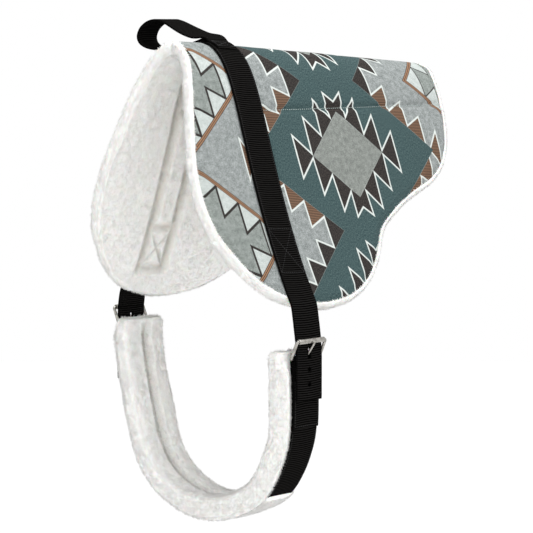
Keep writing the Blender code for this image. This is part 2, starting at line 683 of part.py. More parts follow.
def folded_end(buckle, run):
    """The webbing's turn round one heel bar and its doubled end, outside the single run."""
    side = buckle.side
    turn = []
    for step in range(1, 2 * CORNER_STEPS):
        angle = math.pi * step / (2 * CORNER_STEPS)
        turn.append(buckle.heel + buckle.turn_radius * Vector((-side * math.cos(angle), math.sin(angle))))
    outer_top = buckle.heel + Vector((side * buckle.turn_radius, 0.0))
    outside = shifted(run, side * (WEB_THICKNESS + LAYER_GAP))
    travelled, doubled = 0.0, []
    for before, here, out in zip(run, run[1:], outside[1:]):
        travelled += (here - before).length
        if FOLD_START < travelled < FOLD_LENGTH:
            doubled.append(out)
    return [*turn, outer_top, *doubled]


def girth(near, far, webbing, felt, fleece):
    run = girth_route(near, far)
    near_end = folded_end(near, [Vector(p) for p in run])
    mirrored = [Vector(p) for p in reversed(run)]
    far_end = folded_end(far, mirrored)
    whole = [*reversed(near_end), *run, *far_end]
    pivot = (STRAP_X, *near.strap_foot)
    girth_band = route_band(whole, STRAP_X, WEB_WIDTH, WEB_THICKNESS)
    band = added("girth_webbing", girth_band, webbing, pivot)
    for name, buckle in (("near", near), ("far", far)):
        half = TONGUE_EYE_WIDTH / 2 + TURN_GAP
        reach = buckle.turn_radius + WEB_THICKNESS
        heel_y, heel_z = buckle.heel
        cut(band, box_cutter(name + "_eye_cutter", (STRAP_X - half, heel_y - reach, heel_z - reach),
                             (STRAP_X + half, heel_y + reach, heel_z + reach), webbing))

    rise_near = run[0] + (run[0] - run[1]).normalized() * SLEEVE_RISE
    rise_far = run[-1] + (run[-1] - run[-2]).normalized() * SLEEVE_RISE
    long_run = [rise_near, *run[2:-2], rise_far]
    inward = WEB_THICKNESS / 2 + LAYER_GAP + SLEEVE_THICKNESS / 2
    middle = shifted(long_run, inward)
    x = STRAP_X - SLEEVE_FORWARD
    sleeve(middle, x, fleece, pivot)
    core = (SLEEVE_WIDTH - 2 * SLEEVE_WALL - 2 * GIRTH_CORE_GAP,
            SLEEVE_THICKNESS - 2 * SLEEVE_WALL - 2 * GIRTH_CORE_GAP)
    added("girth_core", route_band(middle[1:-1], x, *core), felt, pivot)


def sleeve_section(width, thickness, sides, crease):
    """A rounded section as (across, out) pairs, creased in the middle of its inner face."""
    section = []
    for k in range(sides):
        turn = 2 * math.pi * k / sides - math.pi / 2
        across = math.copysign(abs(math.cos(turn)) ** 0.55, math.cos(turn)) * width / 2
        out = math.copysign(abs(math.sin(turn)) ** 0.55, math.sin(turn)) * thickness / 2
        if k == sides // 2:
            out -= crease
        section.append((across, out))
    return section


def sleeve(middle, x, fleece, pivot):
    """The fleece tube on the girth, open at both ends round its felt core."""
    outer_section = sleeve_section(SLEEVE_WIDTH, SLEEVE_THICKNESS, SLEEVE_SIDES, SLEEVE_CREASE)
    bore = (SLEEVE_WIDTH - 2 * SLEEVE_WALL, SLEEVE_THICKNESS - 2 * SLEEVE_WALL)
    maker = bmesh.new()
    skins = []
    for section in (outer_section, [(sx * bore[0] / 2, sz * bore[1] / 2)
                                    for sx, sz in ((0, -1), (1, -1), (1, 1), (0, 1), (-1, 1), (-1, -1))]):
        loops = []
        for point, normal in zip(middle, route_normals(middle)):
            ring = [Vector((x + across, *(point + normal * out))) for across, out in section]
            loops.append([maker.verts.new(place) for place in ring])
        for one, other in zip(loops, loops[1:]):
            for a, b, c, d in zip(one, one[1:] + one[:1], other[1:] + other[:1], other):
                maker.faces.new((a, b, c, d))
        skins.append(loops)
    for end in (0, -1):
        edges = []
        for loops in skins:
            ring = loops[end]
            edges += [maker.edges.get((a, b)) for a, b in zip(ring, ring[1:] + ring[:1])]
        bmesh.ops.triangle_fill(maker, use_beauty=True, edges=edges)
    smoothed(added("girth_fleece", maker, fleece, pivot))


def handle(webbing, thread):
    """The loop lies over to the far side of a hinge line just above its sewn ends."""
    left, right = STRAP_X - HANDLE_WIDTH / 2, STRAP_X + HANDLE_WIDTH / 2
    rows = [value for value in row_lengths() if value < HANDLE_END_FAR]
    lengths = sorted({-HANDLE_END_FAR, *[-value for value in rows], *rows,
                      *[value for value in row_lengths() if value < HANDLE_END_NEAR], HANDLE_END_NEAR})
    ends = pad_band(bmesh.new(), lengths, left, right, TAB_TOP, TAB_BOTTOM)
    smoothed(added("handle_ends", ends, webbing))

    box_stitching("handle_stitching", NEAR, HANDLE_WIDTH / 2 - STITCH_INSET, HANDLE_BOX_TOP,
                  HANDLE_END_NEAR - STITCH_INSET, TAB_TOP - LAYER_GAP, thread)

    layer = WEB_THICKNESS + LAYER_GAP
    top = on_pad(STRAP_X, 0.0, TAB_TOP)
    hinge = Vector((0.0, top.z + LAYER_GAP + THREAD_THICKNESS + LAYER_GAP + layer))
    points = [hinge + Vector((-HANDLE_ROOT, layer / 2)), hinge + Vector((HANDLE_ROOT, layer / 2))]
    for y, z in HANDLE_ROUTE_SHARES:
        points.append(hinge + Vector((y * HANDLE_LOOP_LENGTH, z * HANDLE_LOOP_HEIGHT)))
    points += [hinge + Vector((HANDLE_ROOT, -layer / 2)), hinge + Vector((-HANDLE_ROOT, -layer / 2))]
    route = rounded_route(points, HANDLE_STEPS)
    smoothed(added("handle_loop", route_band(route, STRAP_X, HANDLE_WIDTH, WEB_THICKNESS), webbing,
                   (STRAP_X, *hinge)))


def build():
    cleared_scene()
    fabric = finish("tapestry", (0.10, 0.16, 0.155), 0.9)
    felt = finish("felt", (0.30, 0.29, 0.27), 0.95)
    fleece = finish("fleece", (0.86, 0.85, 0.82), 0.95)
    webbing = finish("webbing", (0.012, 0.012, 0.013), 0.7)
    thread = finish("thread", (0.02, 0.02, 0.02), 0.6)
    metal = finish("nickel", (0.75, 0.74, 0.72), 0.22, 1.0)

    pad_layers(fabric, felt, fleece)
    sewn_strap(webbing)
    for name, side in (("near_box_stitching", NEAR), ("far_box_stitching", FAR)):
        box_stitching(name, side, STITCH_REACH, BOX_TOP, BOX_BOTTOM, STRAP_TOP - LAYER_GAP, thread)
    handle(webbing, thread)
    near = Buckle(NEAR, NEAR_STRAP_DROP, NEAR_STRAP_SPREAD)
    far = Buckle(FAR, FAR_STRAP_DROP, FAR_STRAP_SPREAD)
    for name, buckle, tail, foot_gap in (("near", near, NEAR_TAIL_LENGTH, BEND_GAP),
                                         ("far", far, FAR_TAIL_LENGTH, LOOP_GAP)):
        strap_pieces(name, buckle, tail, foot_gap, webbing)
        buckle_frame(name, buckle, metal)
        buckle_roller(name, buckle, metal)
        buckle_tongue(name, buckle, metal)
    girth(near, far, webbing, felt, fleece)


build()
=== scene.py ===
"""A bareback pad, dressed: tapestry over fleece, a webbing strap and handle, a girth in a fleece sleeve.

Metres throughout, in the frame of the solids. A place on the pad is (x, length): length runs over the pad's
outer face from the spine, positive down the near flap. Depth runs inward from the cover's outer face.
"""
import math

import bmesh
import bpy
import numpy as np
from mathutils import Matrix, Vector, noise


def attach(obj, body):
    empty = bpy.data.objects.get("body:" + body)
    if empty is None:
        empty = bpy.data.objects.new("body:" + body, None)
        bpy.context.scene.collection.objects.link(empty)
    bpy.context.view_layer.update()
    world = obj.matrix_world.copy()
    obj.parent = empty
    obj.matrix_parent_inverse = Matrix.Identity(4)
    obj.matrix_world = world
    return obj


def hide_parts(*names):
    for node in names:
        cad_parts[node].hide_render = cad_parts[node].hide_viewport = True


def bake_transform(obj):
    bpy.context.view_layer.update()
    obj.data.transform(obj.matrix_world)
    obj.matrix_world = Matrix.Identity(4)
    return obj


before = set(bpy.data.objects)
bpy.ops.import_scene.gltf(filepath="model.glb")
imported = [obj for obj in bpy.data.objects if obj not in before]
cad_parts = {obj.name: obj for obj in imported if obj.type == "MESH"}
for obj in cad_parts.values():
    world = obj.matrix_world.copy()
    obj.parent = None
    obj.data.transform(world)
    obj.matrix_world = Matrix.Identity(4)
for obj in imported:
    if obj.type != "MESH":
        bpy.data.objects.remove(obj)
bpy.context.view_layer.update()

MM = 0.001

# Clearances
LAYER_GAP = 0.0003                 # between layers that lie on each other
BEND_GAP = 0.0004                  # between two stretches of the strap in the solids
TURN_GAP = 0.0004                  # round a bar that something turns on
STRAP_GAP = 0.0008                 # between the strap and a roller

# Plan of the pad
FRONT_REACH = 0.312
REAR_REACH = 0.250
FLAP_LENGTH = 0.382
FRONT_EDGE_SHARES = ((0.00, 0.840), (0.12, 0.868), (0.24, 0.912), (0.38, 0.957), (0.54, 0.997),
                     (0.62, 1.000), (0.73, 0.975), (0.80, 0.925), (0.88, 0.850), (0.93, 0.780),
                     (0.965, 0.700), (0.99, 0.600), (1.00, 0.530))    # (down the flap, of the front reach)
REAR_EDGE_SHARES = ((0.00, 1.000), (0.06, 0.995), (0.12, 0.970), (0.20, 0.955), (0.29, 0.940),
                    (0.33, 0.926), (0.39, 0.895), (0.444, 0.846), (0.49, 0.780), (0.534, 0.672),
                    (0.58, 0.500), (0.63, 0.338), (0.67, 0.232), (0.726, 0.112), (0.82, 0.008),
                    (0.89, -0.092), (0.94, -0.205), (0.975, -0.330), (0.99, -0.430), (1.00, -0.536))
EDGES = ((-FRONT_REACH, FRONT_EDGE_SHARES), (REAR_REACH, REAR_EDGE_SHARES))

# Cross-section of the pad
CROWN_RADIUS = 0.0258
FLANK_ANGLE = math.radians(75.7)
HEM_FLARE = math.radians(13.3)
SPINE_FALL = 0.0215

# Layers of the pad
COVER_THICKNESS = 0.0020
PAD_THICKNESS = 0.0180
RIM_WIDTH = 0.0050

# Relief of the cover and the fleece
PANEL_PUFF = 0.0013                # the padding's swell between rows of stitches
PANEL_PUFF_RISE = 0.030            # from the edge, where it grows to about two thirds
SEAM_HALF_WIDTH = 0.0070
SEAM_PULL = 0.022                  # how far from the seat seam it still flattens the swell
SEAM_PULL_START = 0.02             # behind the strap, where that begins
STRAP_PRESS = 0.006                # beside the strap, where the cover rises from under it
COVER_RIPPLE = ((0.085, 0.0007), (0.034, 0.00028))    # (length, height) of its waves
COVER_UNDERSIDE_SHARE = 0.3        # of its dips, what shows on its underside
SEAT_SEAM_DEPTH = 0.0036
STRAP_SINK = 0.0004
HEM_ROLL = 0.0022                  # how far the cover dips at its edge
HEM_ROLL_WIDTH = 0.012
PILE_SEAM_DEPTH = 0.0052
PILE_SEAM_HALF_WIDTH = 0.0125
PILE_HEM_DIP = 0.0014
PILE_HEM_DIP_WIDTH = 0.028
PILE_CROSS_HALF_SHARE = 0.30       # of half the box: how wide the cross pulls the fleece in
PILE_CROSS_SHARE = 0.55            # of a seam's depth
PILE_BOX_END_SHARE = 0.7
PILE_SEAT_SHARE = 0.85
PILE_BOX_FADE = 0.006
PILE_LUMPS = ((0.0105, 0.00055), (0.042, 0.0010))
PILE_FLAT_SHARE = 0.6              # of its lumps, what a seam takes away
RIM_WOBBLE_START = 2.0             # millimetres out from the cover's edge
RIM_LUMPS = ((0.007, 0.0007), (0.024, 0.0008))
LINING_REST_GAP = 0.0015           # between the cover's underside and the fleece
SEAT_SEAM_LENGTH = 0.113
SEAT_SEAM_RISE = 0.027

# Webbing and thread
WEB_WIDTH = 0.050
WEB_THICKNESS = 0.0024
STITCH_INSET = 0.0030
THREAD_RADIUS = 0.00042
STITCH_PITCH = 0.0036
STITCH_SHARE = 0.78                # of the pitch, the thread that shows
STITCH_LIFT_SHARES = (-0.9, 0.35, 0.6, 0.35, -0.9)    # of the thread's radius, end to end of a stitch
STITCH_SIZE_SHARES = (0.45, 1.0, 1.0, 1.0, 0.45)
STITCH_LOOK = 0.0004               # either side of a place, to read which way its line runs
SEAT_STITCH_PITCH = 0.0044
SEAT_THREAD_RADIUS = 0.00062
SEAT_STITCH_RISE = 0.0001          # above the seam's bottom
SEAT_STITCH_GAP = 0.001            # behind the strap
SEAT_STITCH_END_SHARE = 0.955      # of the rear reach
HANDLE_STITCH_PITCH = 0.0032
SELVAGE_FRAY = 0.00018
FRAYS_PER_METRE = 260
FRAY_NOISE = (90, 0.3)             # where in the noise it is read: rows per metre of width, and layer
CUT_END_SHARES = (0.55, 0.86)      # of its thickness, at a cut end and one step in

# The strap
STRAP_X = -0.188
BOX_HEIGHT = 0.061
BOX_INSET = 0.042
NEAR_STRAP_DROP = 0.0445
NEAR_STRAP_SPREAD = 0.0065
FAR_STRAP_DROP = 0.0220
FAR_STRAP_SPREAD = 0.0033
CROWN_NUDGE = 1e-6                 # keeps the first point of each half on its own side
STRAP_LEAVE = 0.004                # above the rim's edge, where it leaves the pad's curve
STRAP_DIP = 0.003                  # below that edge, where it first hangs free
STRAP_LEVEL_START = 0.035          # above the hem, where it begins to lie level
STRAP_LEVEL_RUN = 0.03
NEAR_STITCH_START = 0.026          # from the spine, just below the handle's ends
FAR_STITCH_START = 0.016
NEAR_TAIL_LENGTH = 0.051
FAR_TAIL_LENGTH = 0.073
HOLE_PITCH = 0.0200
HOLE_WIDTH = 0.0056
TAIL_HOLE_COUNT = 2
HOLE_CUT_REACH = 2.0 * WEB_THICKNESS
SLOT_CUT_REACH = 2.5 * WEB_THICKNESS

# Roller buckles
WIRE_RADIUS = 0.0021
ROLLER_RADIUS = 0.0035
ROLLER_LIP = 0.0006
ROLLER_LIP_SHARES = ((0.0, 1.0), (0.004, 0.3), (0.014, 0.0), (0.986, 0.0), (0.996, 0.3), (1.0, 1.0))
FRAME_PITCH = 0.026
FRAME_SIDE_GAP = 0.0007
FRAME_CORNER = 0.0030
FRAME_TILT = math.radians(24)
TONGUE_RADIUS = 0.0017
TONGUE_EYE_WIDTH = 0.0050
TONGUE_EYE_WALL = 0.0020
TONGUE_EYE_CHAMFER = 0.0005
TONGUE_EYE_LIP_SHARES = ((0.0, 1.0), (0.1, 0.0), (0.9, 0.0), (1.0, 1.0))
TONGUE_TAPER_SHARES = ((0.0, 1.0), (0.7, 1.0), (0.9, 0.92), (0.96, 0.75), (0.99, 0.45), (1.0, 0.15))
TONGUE_OVERHANG = 0.0030
TONGUE_LEAN = math.asin((ROLLER_RADIUS + LAYER_GAP + TONGUE_RADIUS) / FRAME_PITCH)
TONGUE_SWING = math.radians(20)

# Girth
GIRTH_HEIGHT = 0.224
GIRTH_ROUTE_SHARES = ((-0.994, 0.083), (-1.000, 0.205), (-0.999, 0.340), (-0.985, 0.465),
                      (-0.938, 0.579), (-0.862, 0.696), (-0.751, 0.810), (-0.603, 0.893),
                      (-0.400, 0.959), (-0.185, 0.995), (0.030, 1.000), (0.246, 0.965), (0.443, 0.897),
                      (0.603, 0.802), (0.720, 0.674), (0.795, 0.533), (0.862, 0.362), (0.917, 0.205),
                      (0.957, 0.058), (0.970, -0.018))
FOLD_LENGTH = 0.092
FOLD_START = 0.018
FOLD_STITCH_START = 0.028
GIRTH_STITCH_GAP = 0.004           # between the doubled ends and the rows of stitches
SLEEVE_WIDTH = 0.075
SLEEVE_THICKNESS = 0.025
SLEEVE_FORWARD = 0.0055
SLEEVE_RISE = 0.010
SLEEVE_CREASE = 0.0060             # depth of the long seam in its inner face
SLEEVE_CREASE_HALF_WIDTH = 0.0105
SLEEVE_SQUARENESS = 0.50           # of its section: 1 is an ellipse, lower is boxier
SLEEVE_LOBE = 0.0070               # its front edge swells out beside the webbing
SLEEVE_LOBE_HALF_WIDTH = 0.0085
SLEEVE_LOBE_PLACE = -0.0290
SLEEVE_LIP = 0.0038                # past the wrap's start, where its pile still covers the webbing
SLEEVE_WRAP_SHARE = 0.67           # of half the girth's span: from here down it wraps the webbing too
SLEEVE_WRAP = 0.0046               # how far it then stands out past its own outer face
SLEEVE_WRAP_RUN = 0.0022           # over which the wrap begins
SLEEVE_LOBE_START = 0.010          # from each end of the sleeve
SLEEVE_LOBE_RUN = 0.015
SLEEVE_CLOSE_SHARE = 0.15          # how far its ends draw in
SLEEVE_CLOSE_RUN = 0.0030
SLEEVE_OUTER_SHARE = 0.3           # of its thickness, from where the outer face is full
SLEEVE_PUFF = 0.0012               # of its inner face beside the crease
SLEEVE_RUMPLE = 0.0011
SLEEVE_RUMPLE_WIDTH = 0.011
SLEEVE_RUMPLE_LENGTH = 0.060
SLEEVE_LUMPS = ((0.0085, 0.0006), (0.030, 0.0011))
SLEEVE_SMOOTH_MARGIN = 0.004       # beside the webbing, where the sleeve lies flat
SLEEVE_SMOOTH_SHARE = 0.02         # of half the girth's span, into the wrap
SLEEVE_END_RINGS = ((0.86, 0.0002), (0.70, 0.0020), (0.60, 0.0060))    # (share of its size, depth)
CREASE_GATHER_SHARE = 0.25
GATHERS_PER_METRE = 34
CREASE_DRIFT = 0.0040
DRIFTS_PER_METRE = 12
GATHER_NOISE = (2.2, 0.0)          # where in the noise each is read, so that they differ
DRIFT_NOISE = (8.1, 0.0)
RUMPLE_NOISE = 3.3
CREASE_FADE_START = 0.004
CREASE_FADE_RUN = 0.02
CREASE_END_SHARE = 0.25            # of its depth, left at the sleeve's ends
# of the crease's depth, the share that shows as painted shade
CREASE_SHADE_SHARE = 0.7

# Handle
HANDLE_WIDTH = 0.038
HANDLE_END_NEAR = 0.024
HANDLE_END_FAR = 0.013
HANDLE_BOX_TOP = 0.005
HANDLE_NEAR_RISE = 0.007           # from the spine, where the near end leaves the pad
HANDLE_FAR_REACH = 0.002           # how far the far end runs over the spine
HANDLE_LOOP_LENGTH = 0.131
HANDLE_LOOP_HEIGHT = 0.0275
HANDLE_LEAN = 0.20                 # of its near arm: the front edge lies lower
HANDLE_LEAN_SHARE = 0.22           # of its run, where it leans most
HANDLE_LEAN_HALF_SHARE = 0.24
HANDLE_LEVEL_START = -0.004        # in Y: up to here it lies along the tilted crown, then turns level
HANDLE_LEVEL_RUN = 0.02
HANDLE_ROUTE_SHARES = ((0.20, 0.14), (0.38, 0.42), (0.60, 0.86), (0.72, 0.98), (0.85, 0.88), (0.95, 0.60),
                       (0.995, 0.22), (0.975, -0.10), (0.90, -0.33), (0.79, -0.46), (0.66, -0.49),
                       (0.42, -0.42), (0.20, -0.26))
THREAD_THICKNESS = 0.0005
HANDLE_ROOT = 0.002
HANDLE_RISE = 0.003                # past the hinge, where the near end has left the pad
HANDLE_FAR_RUN = 0.3               # where the far end's weave begins, apart from the loop's
HANDLE_NEAR_POINTS = 7
HANDLE_FAR_POINTS = 12

# Pile
COMBED = (0.0, 0.0, -0.45)         # the way it lies down
TUFT_LENGTH = 0.0030
SLEEVE_TUFT_LENGTH = 0.00375
TUFT_WIDTH = 0.0009
TUFT_SWIRL = 0.9                   # how far tufts lean with their neighbours
TUFT_SWIRL_SIZE = 0.012
TUFT_SCATTER = 0.35                # how far each leans by itself
TUFT_LEAN = 0.9
TUFT_SHORTEST_SHARE = 0.55         # of its length
TUFT_SPREAD_SHARE = 0.8
TUFT_ROOT_SHARE = 0.2              # of its length, inside the fleece
TUFT_ROUNDNESS = 0.5               # how far its sides shade away from the face it stands on
TUFTS = 62000
PILE_WEB_MARGIN = 0.0015           # beside the webbing, where no pile stands
PILE_WEB_REACH = 0.0042            # from the webbing's middle
RIM_HIDDEN_DEPTH = 0.0012
RIM_STRAP_MARGIN = 0.001
FACING = 0.5                       # how squarely a place faces outward: 1 is wholly
FACING_SQUARE = 0.8

# Fineness of the meshes
PAD_ROWS = 132                     # down each flap
PAD_COLUMNS = 216
ROW_CROWDING = 1.35                # how far the rows crowd towards the hem
PAD_LENGTHS = 800                  # at which its outer face is worked out
EDGE_LENGTHS = 240
FELT_LENGTHS = 500
WEB_STEP = 0.0016
SLEEVE_STEP = 0.0022
SLEEVE_SIDES = 88
WIRE_SIDES = 20
TURNED_SIDES = 32
SHARP_ANGLE = math.radians(50)     # between faces, from where an edge shows sharp
THREAD_SIDES = 6
WEB_FLATS = 12                     # across each face of the webbing
ROUTE_STEPS = 12                   # between two points of a curve
LEAD = 4                           # points at a route's end that give its direction
CORNER_STEPS = 8
FOLD_STEPS = 12
SEAT_STITCH_STEPS = 140
STRAP_STITCH_STEPS = 90
BOX_STITCH_STEPS = 16

NOISE_SHIFTS = (7.31, 3.17, 5.71)  # in units of a wave, from one seed to the next

NEAR, FAR = -1, 1


# Shader maths

def dyed(red, green, blue):
    """A linear colour from one read off a screen, 0 to 255."""
    shares = [value / 255 for value in (red, green, blue)]
    linear = [v / 12.92 if v <= 0.04 else ((v + 0.055) / 1.055) ** 2.4 for v in shares]
    return (*linear, 1.0)


class Thread:
    """A number that varies over a finish. Sums on it add Math nodes."""

    def __init__(self, finish, socket):
        self.finish = finish
        self.socket = socket

    def math(self, operation, *others, clamp=False):
        return self.finish.math(operation, self, *others, clamp=clamp)

    def __add__(self, other):
        return self.math("ADD", other)

    __radd__ = __add__

    def __sub__(self, other):
        return self.math("SUBTRACT", other)

    def __rsub__(self, other):
        return self.finish.math("SUBTRACT", other, self)

    def __mul__(self, other):
        return self.math("MULTIPLY", other)

    def __truediv__(self, other):
        return self.math("DIVIDE", other)

    def __abs__(self):
        return self.math("ABSOLUTE")

    def least(self, other):
        """The lower of two."""
        return self.math("MINIMUM", other)

    def most(self, other):
        """The higher of two."""
        return self.math("MAXIMUM", other)

    def sine(self):
        return self.math("SINE")

    def ribs(self, pitch):
        """From -1 to 1 and back in each pitch."""
        return (self * (2 * math.pi / pitch)).sine()

    def within(self):
        """Held between 0 and 1."""
        return self.finish.math("ADD", self, 0.0, clamp=True)

    def edge(self, softness=0.5):
        """1 where it is above nought, 0 below, with an edge this many units wide."""
        return self.finish.math("MULTIPLY_ADD", self, 1 / softness, 0.5, clamp=True)


class Finish:
    """One material, built on its Principled shader."""

    def __init__(self, name, slot, **constants):
        self.slot = slot
        self.material = bpy.data.materials.new(name)
        self.material.use_nodes = True
        self.tree = self.material.node_tree
        self.shader = self.tree.nodes["Principled BSDF"]
        for socket, value in constants.items():
            self.shader.inputs[socket.replace("_", " ")].default_value = value

    def put(self, socket, value):
        """Links a thread to a socket, or sets the socket to a number or colour."""
        if isinstance(value, Thread):
            self.tree.links.new(value.socket, socket)
        else:
            socket.default_value = value

    def node(self, kind, out=0, settings=(), **values):
        """A node of any type: its settings first, then what goes into its sockets, by name."""
        item = self.tree.nodes.new("ShaderNode" + kind)
        for key, value in dict(settings).items():
            setattr(item, key, value)
        for key, value in values.items():
            self.put(item.inputs[key.replace("_", " ")], value)
        return Thread(self, item.outputs[out])

    def math(self, operation, *values, clamp=False):
        item = self.tree.nodes.new("ShaderNodeMath")
        item.operation = operation
        item.use_clamp = clamp
        for socket, value in zip(item.inputs, values):
            self.put(socket, value)
        return Thread(self, item.outputs[0])

    def mix(self, share, one, other):
        """A colour between two."""
        item = self.tree.nodes.new("ShaderNodeMix")
        item.data_type = "RGBA"
        self.put(item.inputs[0], share)
        self.put(item.inputs[6], one)
        self.put(item.inputs[7], other)
        return Thread(self, item.outputs[2])

    def lay(self, name):
        """The three numbers of a mesh's own attribute, and the attribute itself."""
        place = self.node("Attribute", out=1, settings={"attribute_name": name})
        item = self.tree.nodes.new("ShaderNodeSeparateXYZ")
        self.put(item.inputs[0], place)
        return [Thread(self, socket) for socket in item.outputs], place

    def speckle(self, place, scale, detail=2.0, roughness=0.5, stretch=None):
        """Noise from 0 to 1."""
        if stretch:
            place = self.node("VectorMath", settings={"operation": "MULTIPLY"}, Vector=place)
            place.socket.node.inputs[1].default_value = stretch
        return self.node("TexNoise", Vector=place, Scale=scale, Detail=detail, Roughness=roughness)

    def bump(self, height, strength, distance):
        """Relief that this height makes, at most this many metres deep."""
        self.put(self.shader.inputs["Normal"], self.node(
            "Bump", Height=height, Strength=strength, Distance=distance))

    def set(self, socket, value):
        self.put(self.shader.inputs[socket], value)


# The tapestry's figure, in millimetres of cloth
REPEAT = 215.6
HALF_REPEAT = REPEAT / 2
FIGURE_CENTRE = (-6.5, 171.0)
FIGURE_WANDER = (0.9, 0.7)         # how far its edges stray, thread by thread
FIGURE_TURN = math.radians(3.3)
OUTLINE = 2.7
GREY_DIAMOND = (75.0, 62.0)
TEAL_REACH = 196.0
LEAN = 1.29                        # how far a stepped edge runs along the spine for each unit down the flap
INNER_SPIKES = (((75, 0), (45, 25), (73, 52)), ((45, 25), (15, 50), (42, 77)))
INNER_WING = ((75, 0), (106, 27), (106, -27))
INNER_CROWN = ((-8.5, 68.8), (15, 50), (16.5, 87))
OUTER_STEP = (31.0, -24.0)
OUTER_START = (57.0, 107.8)
OUTER_SPIKE_HEIGHT = 37.0
OUTER_CORNER = ((57, 107.8), (88, 83.8), (88, 131.8))
OUTER_WING = ((190, 0), (212, 25), (212, -25))
LOZENGE_START = 180.0
LOZENGE_CORNER = ((180, 107.8), (216, 80), (216, 135.6))
LOZENGE_SPIKES = (((216, 80), (248, 55), (248, 96)), ((248, 55), (280, 30.5), (280, 71.5)),
                  ((280, 30.5), (312, 6), (312, 47)))
ZIGZAG_FRONT = 3.6
ZIGZAG_REAR = 1.9
STRIPE_HALF = 3.2
STRIPE_BORDER = 1.1
STRIPE_VEIN_HALF = 0.55
HATCH_PITCH = 2.3
WEFT_PITCH = 1.15
WARP_PITCH = 1.0
WEAVE_DEPTH = 0.00035              # in metres, like every depth of a finish

TEAL = dyed(80, 101, 101)
TEAL_SHADE = dyed(38, 59, 62)
FIELD = dyed(176, 181, 180)
FIELD_SHADE = dyed(98, 104, 103)
DIAMOND = dyed(156, 160, 155)
DIAMOND_SHADE = dyed(98, 103, 99)
CHARCOAL = dyed(67, 61, 58)
CHARCOAL_SHADE = dyed(18, 15, 14)
BROWN = dyed(132, 102, 80)
BROWN_SHADE = dyed(66, 50, 42)
STRIPE = dyed(158, 120, 92)
WHITE = dyed(212, 218, 214)
PALE = dyed(208, 214, 211)
PALE_SHADE = dyed(164, 172, 169)
SAGE = dyed(164, 170, 166)
SAGE_SHADE = dyed(98, 106, 102)
CLOTH_WEAR = dyed(60, 66, 66)
WEAVE_SHADOW = dyed(30, 34, 35)


def inside(across, down, corners):
    """How far inside a convex figure a place is; below nought is outside."""
    turn = sum(x0 * y1 - x1 * y0 for (x0, y0), (x1, y1) in zip(corners, corners[1:] + corners[:1]))
    found = None
    for (x0, y0), (x1, y1) in zip(corners, corners[1:] + corners[:1]):
        length = math.copysign(math.hypot(x1 - x0, y1 - y0), turn)
        nx, ny = -(y1 - y0) / length, (x1 - x0) / length
        side = across.math("MULTIPLY_ADD", nx, down.math("MULTIPLY_ADD", ny, -(nx * x0 + ny * y0)))
        found = side if found is None else found.least(side)
    return found


def any_of(across, down, figures):
    """How far inside the nearest of several figures a place is."""
    found = None
    for corners in figures:
        one = inside(across, down, corners)
        found = one if found is None else found.most(one)
    return found


